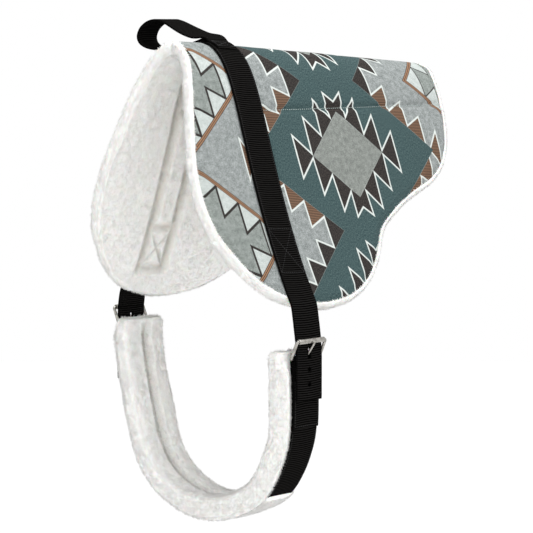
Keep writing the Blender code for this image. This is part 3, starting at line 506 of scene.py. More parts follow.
def tapestry():
    """The cover: stepped diamonds and spikes in a jacquard weave."""
    cloth = Finish("tapestry_weave", "tapestry", Specular_IOR_Level=0.12)
    (x, length, _), place = cloth.lay("cloth")
    wander = cloth.speckle(place, 0.9, detail=1.0) - 0.5
    dx = x - FIGURE_CENTRE[0] + wander * FIGURE_WANDER[0]
    dy = length - FIGURE_CENTRE[1] + wander * FIGURE_WANDER[1]
    turn = (math.cos(FIGURE_TURN), math.sin(FIGURE_TURN))
    along = dx * turn[0] - dy * turn[1]
    down = dx * turn[1] + dy * turn[0]
    across = abs(along)
    fold = down.math("PINGPONG", HALF_REPEAT)
    odd = (down / REPEAT).math("ROUND").math("PINGPONG", 1.0)
    front = (along * -1).edge(2.0)

    grain = cloth.speckle(place, 0.6, detail=3.0, roughness=0.8, stretch=(1.0, 1.4, 1.0))
    blotch = cloth.speckle(place, 0.13, detail=3.0, roughness=0.7)
    heather = (((grain - 0.5) * 3.2 + (blotch - 0.5) * 1.5) + 0.5).within()
    fine = cloth.speckle(place, 0.5, detail=3.0, roughness=0.8, stretch=(1.6, 0.8, 1.0))
    fleck = ((fine - 0.5) * 6.0 + 0.5).within()
    hatch = (down.ribs(HATCH_PITCH) * 0.5 + 0.5).within()
    charcoal = cloth.mix(fleck, CHARCOAL_SHADE, CHARCOAL)

    colour = cloth.mix(heather, FIELD_SHADE, FIELD)
    lozenge = (across + fold * LEAN - (LOZENGE_START + LEAN * HALF_REPEAT)) / math.hypot(1, LEAN)
    colour = cloth.mix(lozenge.edge(), colour, cloth.mix(heather, SAGE_SHADE, SAGE))
    spikes = any_of(across, fold, (LOZENGE_CORNER, *LOZENGE_SPIKES))
    zigzag = spikes + front * (ZIGZAG_FRONT - ZIGZAG_REAR) + ZIGZAG_REAR
    post = STRIPE_HALF / 2 - abs(across - LOZENGE_CORNER[1][0])
    colour = cloth.mix(zigzag.most(post).edge() * lozenge.edge(), colour, charcoal)
    colour = cloth.mix(spikes.edge() * lozenge.edge(), colour, cloth.mix(heather, PALE_SHADE, PALE))
    for half, dye in ((STRIPE_HALF, BROWN_SHADE), (STRIPE_HALF - STRIPE_BORDER, STRIPE),
                      (STRIPE_VEIN_HALF, BROWN_SHADE)):
        colour = cloth.mix((half - abs(lozenge)).edge(), colour, dye)

    corner = inside(across, fold, OUTER_CORNER)
    steps = []
    for k in range(1, 4):
        start = (OUTER_START[0] + OUTER_STEP[0] * k, OUTER_START[1] + OUTER_STEP[1] * k)
        end = (start[0] + OUTER_STEP[0], start[1] + OUTER_STEP[1])
        steps.append((start, end, (end[0], end[1] + OUTER_SPIKE_HEIGHT)))
    ring = any_of(across, fold, (*steps, OUTER_WING))
    whole = corner.most(ring)
    colour = cloth.mix((whole + OUTLINE).edge(), colour, WHITE)
    brown = cloth.mix(hatch, BROWN_SHADE, BROWN)
    colour = cloth.mix(ring.edge(), colour, cloth.mix(odd, brown, charcoal))
    colour = cloth.mix(corner.edge(), colour, charcoal)

    teal = (TEAL_REACH - fold * LEAN - across) / math.hypot(1, LEAN)
    colour = cloth.mix(teal.edge(), colour, cloth.mix(fleck, TEAL_SHADE, TEAL))
    inner = any_of(across, fold, (*INNER_SPIKES, INNER_WING, INNER_CROWN))
    diamond = (1 - across / GREY_DIAMOND[0] - fold / GREY_DIAMOND[1]) * (
        1 / math.hypot(1 / GREY_DIAMOND[0], 1 / GREY_DIAMOND[1]))
    colour = cloth.mix((inner + OUTLINE).edge(), colour, WHITE)
    colour = cloth.mix(inner.edge(), colour, charcoal)
    colour = cloth.mix(diamond.edge(), colour, cloth.mix(heather, DIAMOND_SHADE, DIAMOND))

    tone = cloth.speckle(place, 0.02, detail=3.0)
    colour = cloth.mix((tone - 0.35).within() * 0.25, colour, CLOTH_WEAR)
    weave = (down.ribs(WEFT_PITCH) * along.ribs(WARP_PITCH) * 0.5 + 0.5) * 0.6 + fine * 0.7
    colour = cloth.mix((1 - weave).within() * 0.22, colour, WEAVE_SHADOW)
    cloth.set("Base Color", colour)
    cloth.set("Roughness", 0.82 + (fine - 0.5) * 0.2)
    cloth.bump(weave + grain * 0.5, 0.55, WEAVE_DEPTH)
    return cloth


# painted shade: the grey-cream given to the pile's hollows and to the tufts' roots
PILE_PAINTED_SHADE = dyed(238, 236, 231)
PILE_LIGHT = dyed(253, 253, 252)
PILE_CREAM = dyed(240, 238, 231)
FIBRE_TIP = dyed(247, 246, 243)
FIBRE_TIP_LIGHT = dyed(255, 255, 254)
HOLLOW_PAINTED_SHADE = dyed(176, 168, 152)       # painted shade of fleece pressed down along a seam and in the sleeve's crease
HOLLOW_SHADE_STRENGTH = 0.5
PILE_GLOW = 0.006                  # how deep light goes into it
PILE_DEPTH = 0.0008


def fleece():
    """White sherpa fleece: soft lumps of pile, with painted grey-cream shade in the depths between them."""
    pile = Finish("fleece_pile", "fleece", Specular_IOR_Level=0.08, Sheen_Weight=0.2, Sheen_Roughness=0.6,
                  Subsurface_Weight=0.25, Subsurface_Scale=PILE_GLOW)
    place = pile.node("TexCoord", out=3)
    (hollow, _, _), _ = pile.lay("hollow")
    lump = pile.speckle(place, 170.0, detail=3.0, roughness=0.6, stretch=(1.0, 1.0, 0.5))
    curl = pile.speckle(place, 380.0, detail=3.0, roughness=0.7)
    drift = pile.speckle(place, 14.0)
    depth = ((lump * 0.5 + curl * 0.5 - 0.34) * 3.0).within()
    # painted shade: where the lumps' noise runs low, the colour turns the grey-cream of shaded depths
    colour = pile.mix(depth, PILE_PAINTED_SHADE, PILE_LIGHT)
    colour = pile.mix((drift - 0.54).within() * 1.2, colour, PILE_CREAM)
    # painted shade along the seams and in the sleeve's crease
    colour = pile.mix(hollow * HOLLOW_SHADE_STRENGTH, colour, HOLLOW_PAINTED_SHADE)
    pile.set("Base Color", colour)
    pile.set("Roughness", 0.88 + (1 - depth) * 0.1)
    pile.bump(lump * 0.6 + curl * 0.6, 0.45, PILE_DEPTH)
    return pile


def fibres():
    """The standing tufts: painted shade darkens them at the root; each has its own tone."""
    pile = Finish("fleece_fibres", "fleece", Specular_IOR_Level=0.08, Sheen_Weight=0.2)
    (rise, tone, hollow), _ = pile.lay("tuft")
    colour = pile.mix(rise, PILE_PAINTED_SHADE, pile.mix(tone, FIBRE_TIP, FIBRE_TIP_LIGHT))
    # painted shade along the seams and in the sleeve's crease
    colour = pile.mix(hollow * HOLLOW_SHADE_STRENGTH, colour, HOLLOW_PAINTED_SHADE)
    pile.set("Base Color", colour)
    pile.set("Roughness", 0.9 + tone * 0.08)
    return pile


# The webbing's weave, in millimetres along and across it
RIB_PITCH = 3.0
RIB_BOW = 0.0022                   # how far each rib bends, times its distance from the middle squared
YARN_PITCH = 1.6
YARN_SLANT = 0.45
SELVAGE_WIDTH = 1.8
WEAR_WIDTH = 2.6
WEB_DEPTH = 0.0006
WEB_BLACK = dyed(1, 1, 1)
# painted highlight on the ribs' raised tops
WEB_RIB_HIGHLIGHT = dyed(36, 35, 34)
WEB_WORN = dyed(40, 39, 38)


def webbing():
    """Black nylon webbing: crosswise ribs of doubled yarn between two flat selvages, with a painted
    highlight on the ribs' raised tops.
    """
    web = Finish("webbing_weave", "webbing", Specular_IOR_Level=0.0)
    (across, along, width), place = web.lay("lay")
    jitter = web.speckle(place, 0.35) - 0.5
    bow = across * across * RIB_BOW
    rib = (along + bow + jitter * 0.8).ribs(RIB_PITCH) * 0.5 + 0.5
    yarn = (across + along * YARN_SLANT).ribs(YARN_PITCH) * 0.5 + 0.5
    selvage = (abs(across) - width + SELVAGE_WIDTH).edge(0.7)
    fuzz = web.speckle(place, 2.0, detail=3.0, roughness=0.7)
    height = rib * (1 - selvage * 0.6) + yarn * 0.28 + fuzz * 0.25
    # painted highlight: the higher the weave's relief, the greyer its colour
    colour = web.mix((height * 1.2 - 0.55).within(), WEB_BLACK, WEB_RIB_HIGHLIGHT)
    wear = (abs(across) - width + WEAR_WIDTH).edge(3.0) * ((fuzz - 0.42) * 3.0).within()
    colour = web.mix(wear * 0.3, colour, WEB_WORN)
    web.set("Base Color", colour)
    web.set("Roughness", 0.62 + fuzz * 0.2)
    web.bump(height, 0.9, WEB_DEPTH)
    return web


TWIST_DEPTH = 0.00012
TWISTS_PER_METRE = 900.0


def sewing_thread(name, dark, light):
    """Twisted thread."""
    thread = Finish(name, "thread", Specular_IOR_Level=0.4)
    place = thread.node("TexCoord", out=3)
    twist = thread.node("TexWave", out=1, settings={"wave_type": "BANDS", "bands_direction": "DIAGONAL"},
                        Vector=place, Scale=TWISTS_PER_METRE, Distortion=1.5)
    thread.set("Base Color", thread.mix(twist, dyed(*dark), dyed(*light)))
    thread.set("Roughness", 0.5 + twist * 0.2)
    thread.bump(twist, 0.5, TWIST_DEPTH)
    return thread


NICKEL_DULL = dyed(142, 139, 133)
NICKEL_RUBBED = dyed(202, 199, 193)
PLATE_DEPTH = 0.0001


def nickel():
    """Nickel plate, brighter where it is rubbed."""
    metal = Finish("nickel_plate", "nickel", Metallic=1.0)
    place = metal.node("TexCoord", out=3)
    cloud = metal.speckle(place, 180.0, detail=4.0, roughness=0.6)
    scratch = metal.speckle(place, 260.0, stretch=(0.25, 3.0, 3.0))
    rub = ((cloud - 0.4) * 3.0).within()
    metal.set("Base Color", metal.mix(rub, NICKEL_DULL, NICKEL_RUBBED))
    metal.set("Roughness", 0.17 + (1 - rub) * 0.14 + (scratch - 0.5) * 0.12)
    metal.bump(scratch * 0.4 + cloud * 0.6, 0.12, PLATE_DEPTH)
    return metal


CLOTH = tapestry()
FLEECE = fleece()
FIBRES = fibres()
WEB = webbing()
BLACK_THREAD = sewing_thread("black_thread", (6, 6, 7), (30, 30, 31))
SEAM_THREAD = sewing_thread("seam_thread", (110, 124, 122), (190, 202, 198))
NICKEL = nickel()


# Meshes

def placed(name, data):
    """A new object in the scene."""
    item = bpy.data.objects.new(name, data)
    bpy.context.scene.collection.objects.link(item)
    return item


def piece(name, points, faces, finish, body=None, lays=None):
    """A smooth mesh that rides on a body, with its own places for its finish."""
    mesh = bpy.data.meshes.new(name)
    mesh.from_pydata([tuple(point) for point in points], [], faces)
    for key, values in (lays or {}).items():
        attribute = mesh.attributes.new(key, "FLOAT_VECTOR", "POINT")
        attribute.data.foreach_set("vector", np.asarray(values, np.float32).ravel())
    mesh.shade_smooth()
    mesh.materials.append(finish.material)
    item = placed(name, mesh)
    if body:
        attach(item, body)
    return item


def face_outward(item):
    """Turn every face of a closed mesh outward."""
    mesh = bmesh.new()
    mesh.from_mesh(item.data)
    bmesh.ops.recalc_face_normals(mesh, faces=mesh.faces)
    mesh.to_mesh(item.data)
    mesh.free()


def tube_faces(rings, sides, closed=False):
    """Faces along a tube whose points come ring by ring, joined end to end if closed."""
    faces = []
    for k in range(rings if closed else rings - 1):
        after = (k + 1) % rings
        for j in range(sides):
            i = (j + 1) % sides
            faces.append((k * sides + j, k * sides + i, after * sides + i, after * sides + j))
    return faces


def end_faces(rings, sides):
    """The two faces that close a tube's ends."""
    return [tuple(range(sides))[::-1], tuple((rings - 1) * sides + j for j in range(sides))]


def circle(centre, way, other_way, radius, sides):
    """Points round a centre, in the plane of two unit vectors."""
    turns = [2 * math.pi * k / sides for k in range(sides)]
    return [centre + radius * (math.cos(turn) * way + math.sin(turn) * other_way) for turn in turns]


def clamped(value):
    """Held between 0 and 1."""
    return min(max(value, 0.0), 1.0)


def smooth(t):
    """From 0 to 1 with a soft start and end."""
    return t * t * (3 - 2 * t)


def unit(rows):
    """Rows of numbers, each made one long."""
    return rows / np.maximum(np.linalg.norm(rows, axis=1, keepdims=True), 1e-9)


def eased(shares, at):
    """A smooth curve through (place, value) pairs that never swings past them."""
    places = np.array([pair[0] for pair in shares])
    values = np.array([pair[1] for pair in shares])
    slopes = np.diff(values) / np.diff(places)
    inner = [0.0 if a * b <= 0 else 2 * a * b / (a + b) for a, b in zip(slopes, slopes[1:])]
    tangents = np.array([slopes[0], *inner, slopes[-1]])
    k = int(np.clip(np.searchsorted(places, at) - 1, 0, len(slopes) - 1))
    width = places[k + 1] - places[k]
    t = (at - places[k]) / width
    start = (1 + 2 * t) * (1 - t) ** 2 * values[k] + t * (1 - t) ** 2 * width * tangents[k]
    end = t * t * (3 - 2 * t) * values[k + 1] + t * t * (t - 1) * width * tangents[k + 1]
    return float(start + end)


def rounded_route(points):
    """A Catmull-Rom curve through points in a plane."""
    points = [Vector(p) for p in points]
    ends = [2 * points[0] - points[1], *points, 2 * points[-1] - points[-2]]
    route = []
    for a, b, c, d in zip(ends, ends[1:], ends[2:], ends[3:]):
        for k in range(ROUTE_STEPS):
            t = k / ROUTE_STEPS
            route.append(0.5 * (2 * b + (c - a) * t + (2 * a - 5 * b + 4 * c - d) * t ** 2
                                + (3 * b - a - 3 * c + d) * t ** 3))
    return [*route, points[-1]]


def run_lengths(points):
    """How far along a line each of its points lies."""
    return np.concatenate(([0.0], np.cumsum(np.linalg.norm(np.diff(points, axis=0), axis=1))))


def at_run(where, runs, values):
    """What a line's values come to at one length of its run."""
    return np.array([np.interp(where, runs, values[:, axis]) for axis in range(values.shape[1])])


def evenly(route, step):
    """The same route, with its points this far apart."""
    points = np.array([tuple(p) for p in route])
    runs = run_lengths(points)
    count = max(2, int(round(runs[-1] / step)) + 1)
    return [Vector(at_run(where, runs, points)) for where in np.linspace(0, runs[-1], count)]


def normals_of(route):
    """The unit normal of a route in the Y-Z plane at each of its points, to the left of its run."""
    normals = []
    for before, after in zip([route[0], *route[:-1]], [*route[1:], route[-1]]):
        along = (after - before).normalized()
        normals.append(Vector((-along.y, along.x)))
    return normals


# The pad's outer face
LENGTHS = np.linspace(0, FLAP_LENGTH + 4 * RIM_WIDTH, PAD_LENGTHS)
SLOPES = (FLANK_ANGLE * (1 - np.exp(-LENGTHS / (CROWN_RADIUS * FLANK_ANGLE)))
          - HEM_FLARE * (LENGTHS / FLAP_LENGTH) ** 2)


def summed(rates):
    """What rates along the pad's face add up to at each of its lengths."""
    return np.concatenate(([0.0], np.cumsum((rates[1:] + rates[:-1]) / 2 * np.diff(LENGTHS))))


HALF_WIDTHS = summed(np.cos(SLOPES))
DROPS = summed(np.sin(SLOPES))
CROWN_TILT = SPINE_FALL / (FRONT_REACH + REAR_REACH)


def on_pad(x, length, depth):
    """A point on the pad, or many at once."""
    reach = np.abs(length)
    side = np.where(np.asarray(length) >= 0, NEAR, FAR)
    slope = np.interp(reach, LENGTHS, SLOPES)
    y = side * (np.interp(reach, LENGTHS, HALF_WIDTHS) - depth * np.sin(slope))
    z = PAD_THICKNESS - CROWN_TILT * x - np.interp(reach, LENGTHS, DROPS) - depth * np.cos(slope)
    return np.stack([x + 0 * y, y, z], axis=-1)


def laid(places, depth):
    """Points on the pad over rows of (x, length), at one depth or each at its own."""
    return on_pad(places[:, 0], places[:, 1], depth + 0 * places[:, 0])


def pad_places():
    """(x, length) of every crossing of the pad's fine grid, row by row from the far hem to the near one."""
    shares = [1 - (1 - k / PAD_ROWS) ** ROW_CROWDING for k in range(PAD_ROWS + 1)]
    signed = [-share for share in reversed(shares[1:])] + shares
    grid = np.zeros((len(signed), PAD_COLUMNS + 1, 2))
    across = np.linspace(0, 1, PAD_COLUMNS + 1)
    for r, share in enumerate(signed):
        front, rear = [reach * eased(edge_shares, abs(share)) for reach, edge_shares in EDGES]
        grid[r, :, 0] = front + across * (rear - front)
        grid[r, :, 1] = share * FLAP_LENGTH
    return grid


def ring_of(rows, columns):
    """Numbers of the crossings round a grid's edge, in order."""
    grid = np.arange(rows * columns).reshape(rows, columns)
    return np.concatenate([grid[0, :-1], grid[:-1, -1], grid[-1, :0:-1], grid[:0:-1, 0]]).tolist()


def layer_faces(rows, columns):
    """Faces of two grids of points, one over the other, each facing out."""
    count = rows * columns
    upper = [(a, a + columns, a + columns + 1, a + 1)
             for row in range(rows - 1) for a in range(row * columns, (row + 1) * columns - 1)]
    return upper + [tuple(corner + count for corner in reversed(face)) for face in upper]


def ring_faces(one, other):
    """Faces between two closed rings of as many points."""
    return [(a, b, d, c) for a, b, c, d in zip(one, one[1:] + one[:1], other, other[1:] + other[:1])]


def grown(places, distance):
    """Places round an edge, moved outward in the pad's own face."""
    ahead = unit(np.roll(places, -1, axis=0) - places)
    along = ahead + np.roll(ahead, 1, axis=0)
    for _ in range(3):
        along = unit(along + 0.5 * (np.roll(along, 1, axis=0) + np.roll(along, -1, axis=0)))
    return places + np.reshape(distance, (-1, 1)) * np.stack([along[:, 1], -along[:, 0]], axis=1)


def hill(distance, half_width):
    """1 at nought, easing to 0 at half_width."""
    return smooth(np.clip(1 - np.abs(distance) / half_width, 0, 1))


def waves(points, size, seed):
    """Smooth noise from -1 to 1 at points, about this size."""
    shift = seed * Vector(NOISE_SHIFTS)
    return np.array([noise.noise(Vector(p) / size + shift) for p in points])


def rumples(points, sizes, seed):
    """Waves of several sizes together: sizes holds each one's length and height."""
    return sum(waves(points, length, seed + k) * height for k, (length, height) in enumerate(sizes))


def outward_at(length):
    """The way out of the pad's face at one length."""
    slope = float(np.interp(abs(length), LENGTHS, SLOPES))
    side = NEAR if length >= 0 else FAR
    return Vector((0, side * math.sin(slope), math.cos(slope)))


BOX_BOTTOM = FLAP_LENGTH - BOX_INSET
BOX_TOP = BOX_BOTTOM - BOX_HEIGHT
STITCH_REACH = WEB_WIDTH / 2 - STITCH_INSET
SEAM_START = STRAP_X + WEB_WIDTH / 2


def seat_seam_length(x):
    """The seat seam's length from the spine, which rises towards the rear."""
    along = np.clip((x - SEAM_START) / (REAR_REACH - SEAM_START), 0, 1)
    return SEAT_SEAM_LENGTH - SEAT_SEAM_RISE * along


def edge_distance(places):
    """Rough distance in the pad's face to its edge."""
    share = np.abs(places[:, 1]) / FLAP_LENGTH
    rows = np.linspace(0, 1, EDGE_LENGTHS)
    nearest = FLAP_LENGTH - np.abs(places[:, 1])
    for reach, edge_shares in EDGES:
        edges = np.array([reach * eased(edge_shares, row) for row in rows])
        lean = np.interp(share, rows, np.gradient(edges, rows)) / FLAP_LENGTH
        gap = math.copysign(1, reach) * (np.interp(share, rows, edges) - places[:, 0])
        nearest = np.minimum(nearest, gap / np.sqrt(1 + lean ** 2))
    return nearest


def seams_near(places, half_width, start):
    """How close each place is to a row of stitches: 1 on it, 0 away from it."""
    x, reach = places[:, 0], np.abs(places[:, 1])
    seat = hill(reach - seat_seam_length(x), half_width) * np.clip((x - start) / half_width + 0.5, 0, 1)
    over_box = np.clip((BOX_BOTTOM - reach) / half_width + 1, 0, 1)
    rows = [hill(x - STRAP_X - side * STITCH_REACH, half_width) * over_box for side in (-1, 1)]
    return seat, np.maximum(rows[0], rows[1])


def cover():
    """The tapestry, swelling between its rows of stitches and rolling under at its edge."""
    places = pad_places()
    rows, columns = places.shape[:2]
    flat = places.reshape(-1, 2)
    edge = edge_distance(flat)
    seat, strap = seams_near(flat, SEAM_HALF_WIDTH, SEAM_START)
    under_strap = hill(np.maximum(np.abs(flat[:, 0] - STRAP_X) - WEB_WIDTH / 2, 0), STRAP_PRESS)
    puff = PANEL_PUFF * (1 - np.exp(-np.maximum(edge, 0) / PANEL_PUFF_RISE))
    to_seam = np.abs(np.abs(flat[:, 1]) - seat_seam_length(flat[:, 0]))
    behind = np.clip((flat[:, 0] - SEAM_START) / SEAM_PULL_START, 0, 1)
    puff *= 1 - behind * np.exp(-to_seam / SEAM_PULL)
    ripple = rumples(laid(flat, 0), COVER_RIPPLE, 1)
    depth = -puff - ripple * (1 - strap)
    depth = depth * (1 - under_strap) + under_strap * STRAP_SINK
    depth += seat * SEAT_SEAM_DEPTH + hill(edge, HEM_ROLL_WIDTH) * HEM_ROLL * (1 - under_strap)
    under = np.maximum(depth, 0) * COVER_UNDERSIDE_SHARE + COVER_THICKNESS
    count = rows * columns
    ring = ring_of(rows, columns)
    faces = layer_faces(rows, columns) + ring_faces(ring, [i + count for i in ring])
    lay = np.concatenate([flat / MM, np.zeros((count, 1))], axis=1)
    cloth = piece("tapestry_cover", np.concatenate([laid(flat, depth), laid(flat, under)]), faces, CLOTH,
                  "pad", {"cloth": np.concatenate([lay, lay])})
    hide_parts("pad_cover")


# How the fleece turns round the cover's edge: (out from the edge, depth), in millimetres
RIM_PROFILE = ((0.30, 1.5), (0.55, 0.55), (1.6, 0.05), (3.2, 0.55), (4.6, 2.2), (5.5, 5.0), (5.8, 8.2),
               (5.5, 11.0), (4.8, 13.2), (3.6, 14.9), (2.2, 15.9), (1.0, 16.4))


def pulled_in(flat):
    """How far stitches pull the fleece in at each place: 1 is a full seam, 0 none."""
    seat, strap = seams_near(flat, PILE_SEAM_HALF_WIDTH, STRAP_X - STITCH_REACH)
    across, reach = flat[:, 0] - STRAP_X, np.abs(flat[:, 1])
    in_box = (np.abs(across) < STITCH_REACH) & (reach > BOX_TOP) & (reach < BOX_BOTTOM)
    down = 2 * (reach - BOX_TOP) / BOX_HEIGHT - 1
    cross = np.minimum(np.abs(across / STITCH_REACH - down), np.abs(across / STITCH_REACH + down))
    box = np.where(in_box, hill(cross, PILE_CROSS_HALF_SHARE) * PILE_CROSS_SHARE, 0)
    ends = np.minimum(np.abs(reach - BOX_TOP), np.abs(reach - BOX_BOTTOM))
    across_box = np.clip((STITCH_REACH - np.abs(across)) / PILE_BOX_FADE + 1, 0, 1)
    box = np.maximum(box, hill(ends, PILE_SEAM_HALF_WIDTH) * PILE_BOX_END_SHARE * across_box)
    return np.maximum(np.maximum(seat * PILE_SEAT_SHARE, strap), box)


def lining():
    """The fleece: the inner face, its rim that stands round the cover, and the felt that it holds."""
    places = pad_places()
    rows, columns = places.shape[:2]
    flat = places.reshape(-1, 2)
    count = rows * columns
    edge = edge_distance(flat)
    pulled = pulled_in(flat)
    lumps = rumples(laid(flat, PAD_THICKNESS), PILE_LUMPS, 3)
    inner = (PAD_THICKNESS - PILE_SEAM_DEPTH * pulled + lumps * (1 - PILE_FLAT_SHARE * pulled)
             - PILE_HEM_DIP * hill(edge, PILE_HEM_DIP_WIDTH))
    outer = COVER_THICKNESS + LINING_REST_GAP + hill(edge, HEM_ROLL_WIDTH) * HEM_ROLL / 2
    points = [laid(flat, outer), laid(flat, inner)]
    ring = ring_of(rows, columns)
    loops = [ring]
    start = 2 * count
    for out, depth in RIM_PROFILE:
        wobble = rumples(laid(grown(flat[ring], out * MM), depth * MM), RIM_LUMPS, 5)
        moved = grown(flat[ring], out * MM + wobble * min(1.0, out / RIM_WOBBLE_START))
        points.append(laid(moved, depth * MM))
        loops.append(list(range(start, start + len(ring))))
        start += len(ring)
    loops.append([i + count for i in ring])
    faces = layer_faces(rows, columns)
    for one, other in zip(loops, loops[1:]):
        faces += ring_faces(one, other)
    points = np.concatenate(points)
    hollow_shades = np.zeros((len(points), 3))
    # the seams' pull, kept to paint shade into the fleece's colour
    hollow_shades[count:2 * count, 0] = pulled
    item = piece("fleece_lining", points, faces, FLEECE, "pad", {"hollow": hollow_shades})
    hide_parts("pad_lining", "pad_core")
    return item


def read(data, key, width, kind=float):
    """A mesh's own numbers, in rows of this width."""
    values = np.zeros(len(data) * width, kind)
    data.foreach_get(key, values)
    return values.reshape(-1, width)


def pile(name, base, count, length, body, keep, seed):
    """Standing tufts over a mesh: thin cones that lean in swirls and shade as the face they stand on."""
    mesh = base.data
    mesh.calc_loop_triangles()
    corners = read(mesh.loop_triangles, "vertices", 3, np.int32)
    co = read(mesh.vertices, "co", 3)
    a, b, c = co[corners[:, 0]], co[corners[:, 1]], co[corners[:, 2]]
    cross = np.cross(b - a, c - a)
    areas = np.linalg.norm(cross, axis=1) / 2
    normals = cross / np.maximum(2 * areas[:, None], 1e-12)
    areas = areas * keep((a + b + c) / 3, normals)
    rng = np.random.default_rng(seed)
    chosen = rng.choice(len(areas), size=count, p=areas / areas.sum())
    r1, r2 = np.sqrt(rng.random((count, 1))), rng.random((count, 1))
    root = (1 - r1) * a[chosen] + r1 * (1 - r2) * b[chosen] + r1 * r2 * c[chosen]
    up = normals[chosen]
    swirl = np.stack([waves(root, TUFT_SWIRL_SIZE, seed + k) for k in range(3)], axis=1)
    lean = rng.normal(size=(count, 3)) * TUFT_SCATTER + swirl * TUFT_SWIRL + np.array(COMBED)
    lean -= up * np.sum(lean * up, axis=1, keepdims=True)
    direction = unit(up + lean * TUFT_LEAN)
    side = unit(np.cross(direction, rng.normal(size=(count, 3))))
    third = np.cross(direction, side)
    size = (TUFT_SHORTEST_SHARE + TUFT_SPREAD_SHARE * rng.random((count, 1))) * length
    start = root - up * length * TUFT_ROOT_SHARE
    turns = [math.radians(turn) for turn in (0, 120, 240)]
    ring = [start + (side * math.cos(turn) + third * math.sin(turn)) * TUFT_WIDTH / 2 for turn in turns]
    points = np.stack([*ring, start + direction * size], axis=1).reshape(-1, 3)
    faces = [(4 * k + i, 4 * k + j, 4 * k + 3) for k in range(count) for i, j in ((0, 1), (1, 2), (2, 0))]
    tones = np.repeat(rng.random(count), 4)
    rises = np.tile([0.0, 0.0, 0.0, 1.0], count)
    # the base's painted seam shade, carried onto each tuft
    hollow_shades = read(mesh.attributes["hollow"].data, "vector", 3)[:, 0]
    sunk_shade = np.repeat(hollow_shades[corners[chosen, 0]], 4)
    item = piece(name, points, faces, FIBRES, body, {"tuft": np.stack([rises, tones, sunk_shade], axis=1)})
    around = np.stack([*(point - start for point in ring), 0 * start], axis=1) / (TUFT_WIDTH / 2)
    shading = up[:, None, :] + around * TUFT_ROUNDNESS
    item.data.normals_split_custom_set_from_vertices([tuple(n) for n in shading.reshape(-1, 3)])


# Webbing

def band_section(width):
    """Webbing's section with round selvages, as (across, share of half the thickness) pairs."""
    half, thick = width / 2, WEB_THICKNESS / 2
    flat = width - WEB_THICKNESS

    def selvage(middle, turns):
        return [(middle + thick * math.cos(turn), math.sin(turn)) for turn in np.radians(turns)]

    upper = [(-half + thick + flat * k / WEB_FLATS, 1.0) for k in range(WEB_FLATS + 1)]
    lower = [(half - thick - flat * k / WEB_FLATS, -1.0) for k in range(WEB_FLATS + 1)]
    return [*upper, *selvage(half - thick, (45, 0, -45)), *lower, *selvage(-half + thick, (225, 180, 135))]


def band(name, frames, width, body=None, start=0.0, cut=(True, True)):
    """Webbing along frames of (centre, across, outward), with round selvages; cut ends are pressed thin."""
    half, thick = width / 2, WEB_THICKNESS / 2
    section = band_section(width)
    points, lays, run = [], [], start
    count = len(frames)
    for k, (centre, across, outward) in enumerate(frames):
        if k:
            run += (centre - frames[k - 1][0]).length
        end = min(k if cut[0] else count, count - 1 - k if cut[1] else count)
        press = CUT_END_SHARES[end] if end < len(CUT_END_SHARES) else 1.0
        fray = SELVAGE_FRAY * noise.noise(
            Vector((run * FRAYS_PER_METRE, width * FRAY_NOISE[0], FRAY_NOISE[1])))
        for a, n in section:
            sway = a + math.copysign(fray, a) * (abs(a) > half - WEB_THICKNESS)
            points.append(centre + across * sway + outward * n * thick * press)
            lays.append((a / MM, run / MM, half / MM))
    faces = tube_faces(count, len(section)) + end_faces(count, len(section))
    item = piece(name, points, faces, WEB, body, {"lay": lays})
    face_outward(item)
    return item


STRAP_MIDDLE = -LAYER_GAP - WEB_THICKNESS / 2
TAB_MIDDLE = STRAP_MIDDLE - WEB_THICKNESS - LAYER_GAP
TAB_TOP = float(on_pad(STRAP_X, 0.0, TAB_MIDDLE - WEB_THICKNESS / 2)[2])
HINGE = Vector((0.0, TAB_TOP + THREAD_THICKNESS + WEB_THICKNESS + 3 * LAYER_GAP))


def pad_frame(length, depth, level=0.0):
    """Where webbing lies on the pad at one length: its middle, the way across it and outward."""
    across = Vector((1, 0, -CROWN_TILT * (1 - level))).normalized()
    return Vector(on_pad(STRAP_X, length, depth)), across, outward_at(length)


def plane_frames(route, outward_side):
    """Frames of webbing that hangs level along a route in the Y-Z plane."""
    return [(Vector((STRAP_X, *point)), Vector((1, 0, 0)), Vector((0, *(normal * outward_side))))
            for point, normal in zip(route, normals_of(route))]


def hem_point(side):
    """Where the strap's middle passes the rim's edge, in the Y-Z plane."""
    return Vector(on_pad(STRAP_X, -side * (FLAP_LENGTH + RIM_WIDTH), STRAP_MIDDLE)).yz


class Buckle:
    """Where one buckle's bars lie, from the strap that hangs to it."""

    def __init__(self, name, side, drop, spread, tail_length):
        self.name = name
        self.side = side
        self.tail_length = tail_length
        self.strap_top = hem_point(side)
        self.strap_foot = self.strap_top + Vector((side * spread, -drop))
        out = ROLLER_RADIUS + STRAP_GAP + WEB_THICKNESS / 2
        self.roller = self.strap_foot + Vector((side * out, 0.0))
        self.up = Vector((side * math.sin(FRAME_TILT), math.cos(FRAME_TILT)))
        self.out = Vector((side * math.cos(FRAME_TILT), -math.sin(FRAME_TILT)))
        self.heel = self.roller - self.up * FRAME_PITCH
        self.turn_radius = WIRE_RADIUS + TURN_GAP + WEB_THICKNESS / 2
        pass_out = self.turn_radius + WEB_THICKNESS + LAYER_GAP
        self.strap_at_heel = self.heel + Vector((side * pass_out, 0.0))
        self.tail_top = self.strap_at_heel - Vector((0.0, self.turn_radius))
        self.tongue_way = (self.up * math.cos(TONGUE_LEAN) + self.out * math.sin(TONGUE_LEAN)).normalized()


NEAR_BUCKLE = Buckle("near", NEAR, NEAR_STRAP_DROP, NEAR_STRAP_SPREAD, NEAR_TAIL_LENGTH)
FAR_BUCKLE = Buckle("far", FAR, FAR_STRAP_DROP, FAR_STRAP_SPREAD, FAR_TAIL_LENGTH)
BUCKLES = (NEAR_BUCKLE, FAR_BUCKLE)


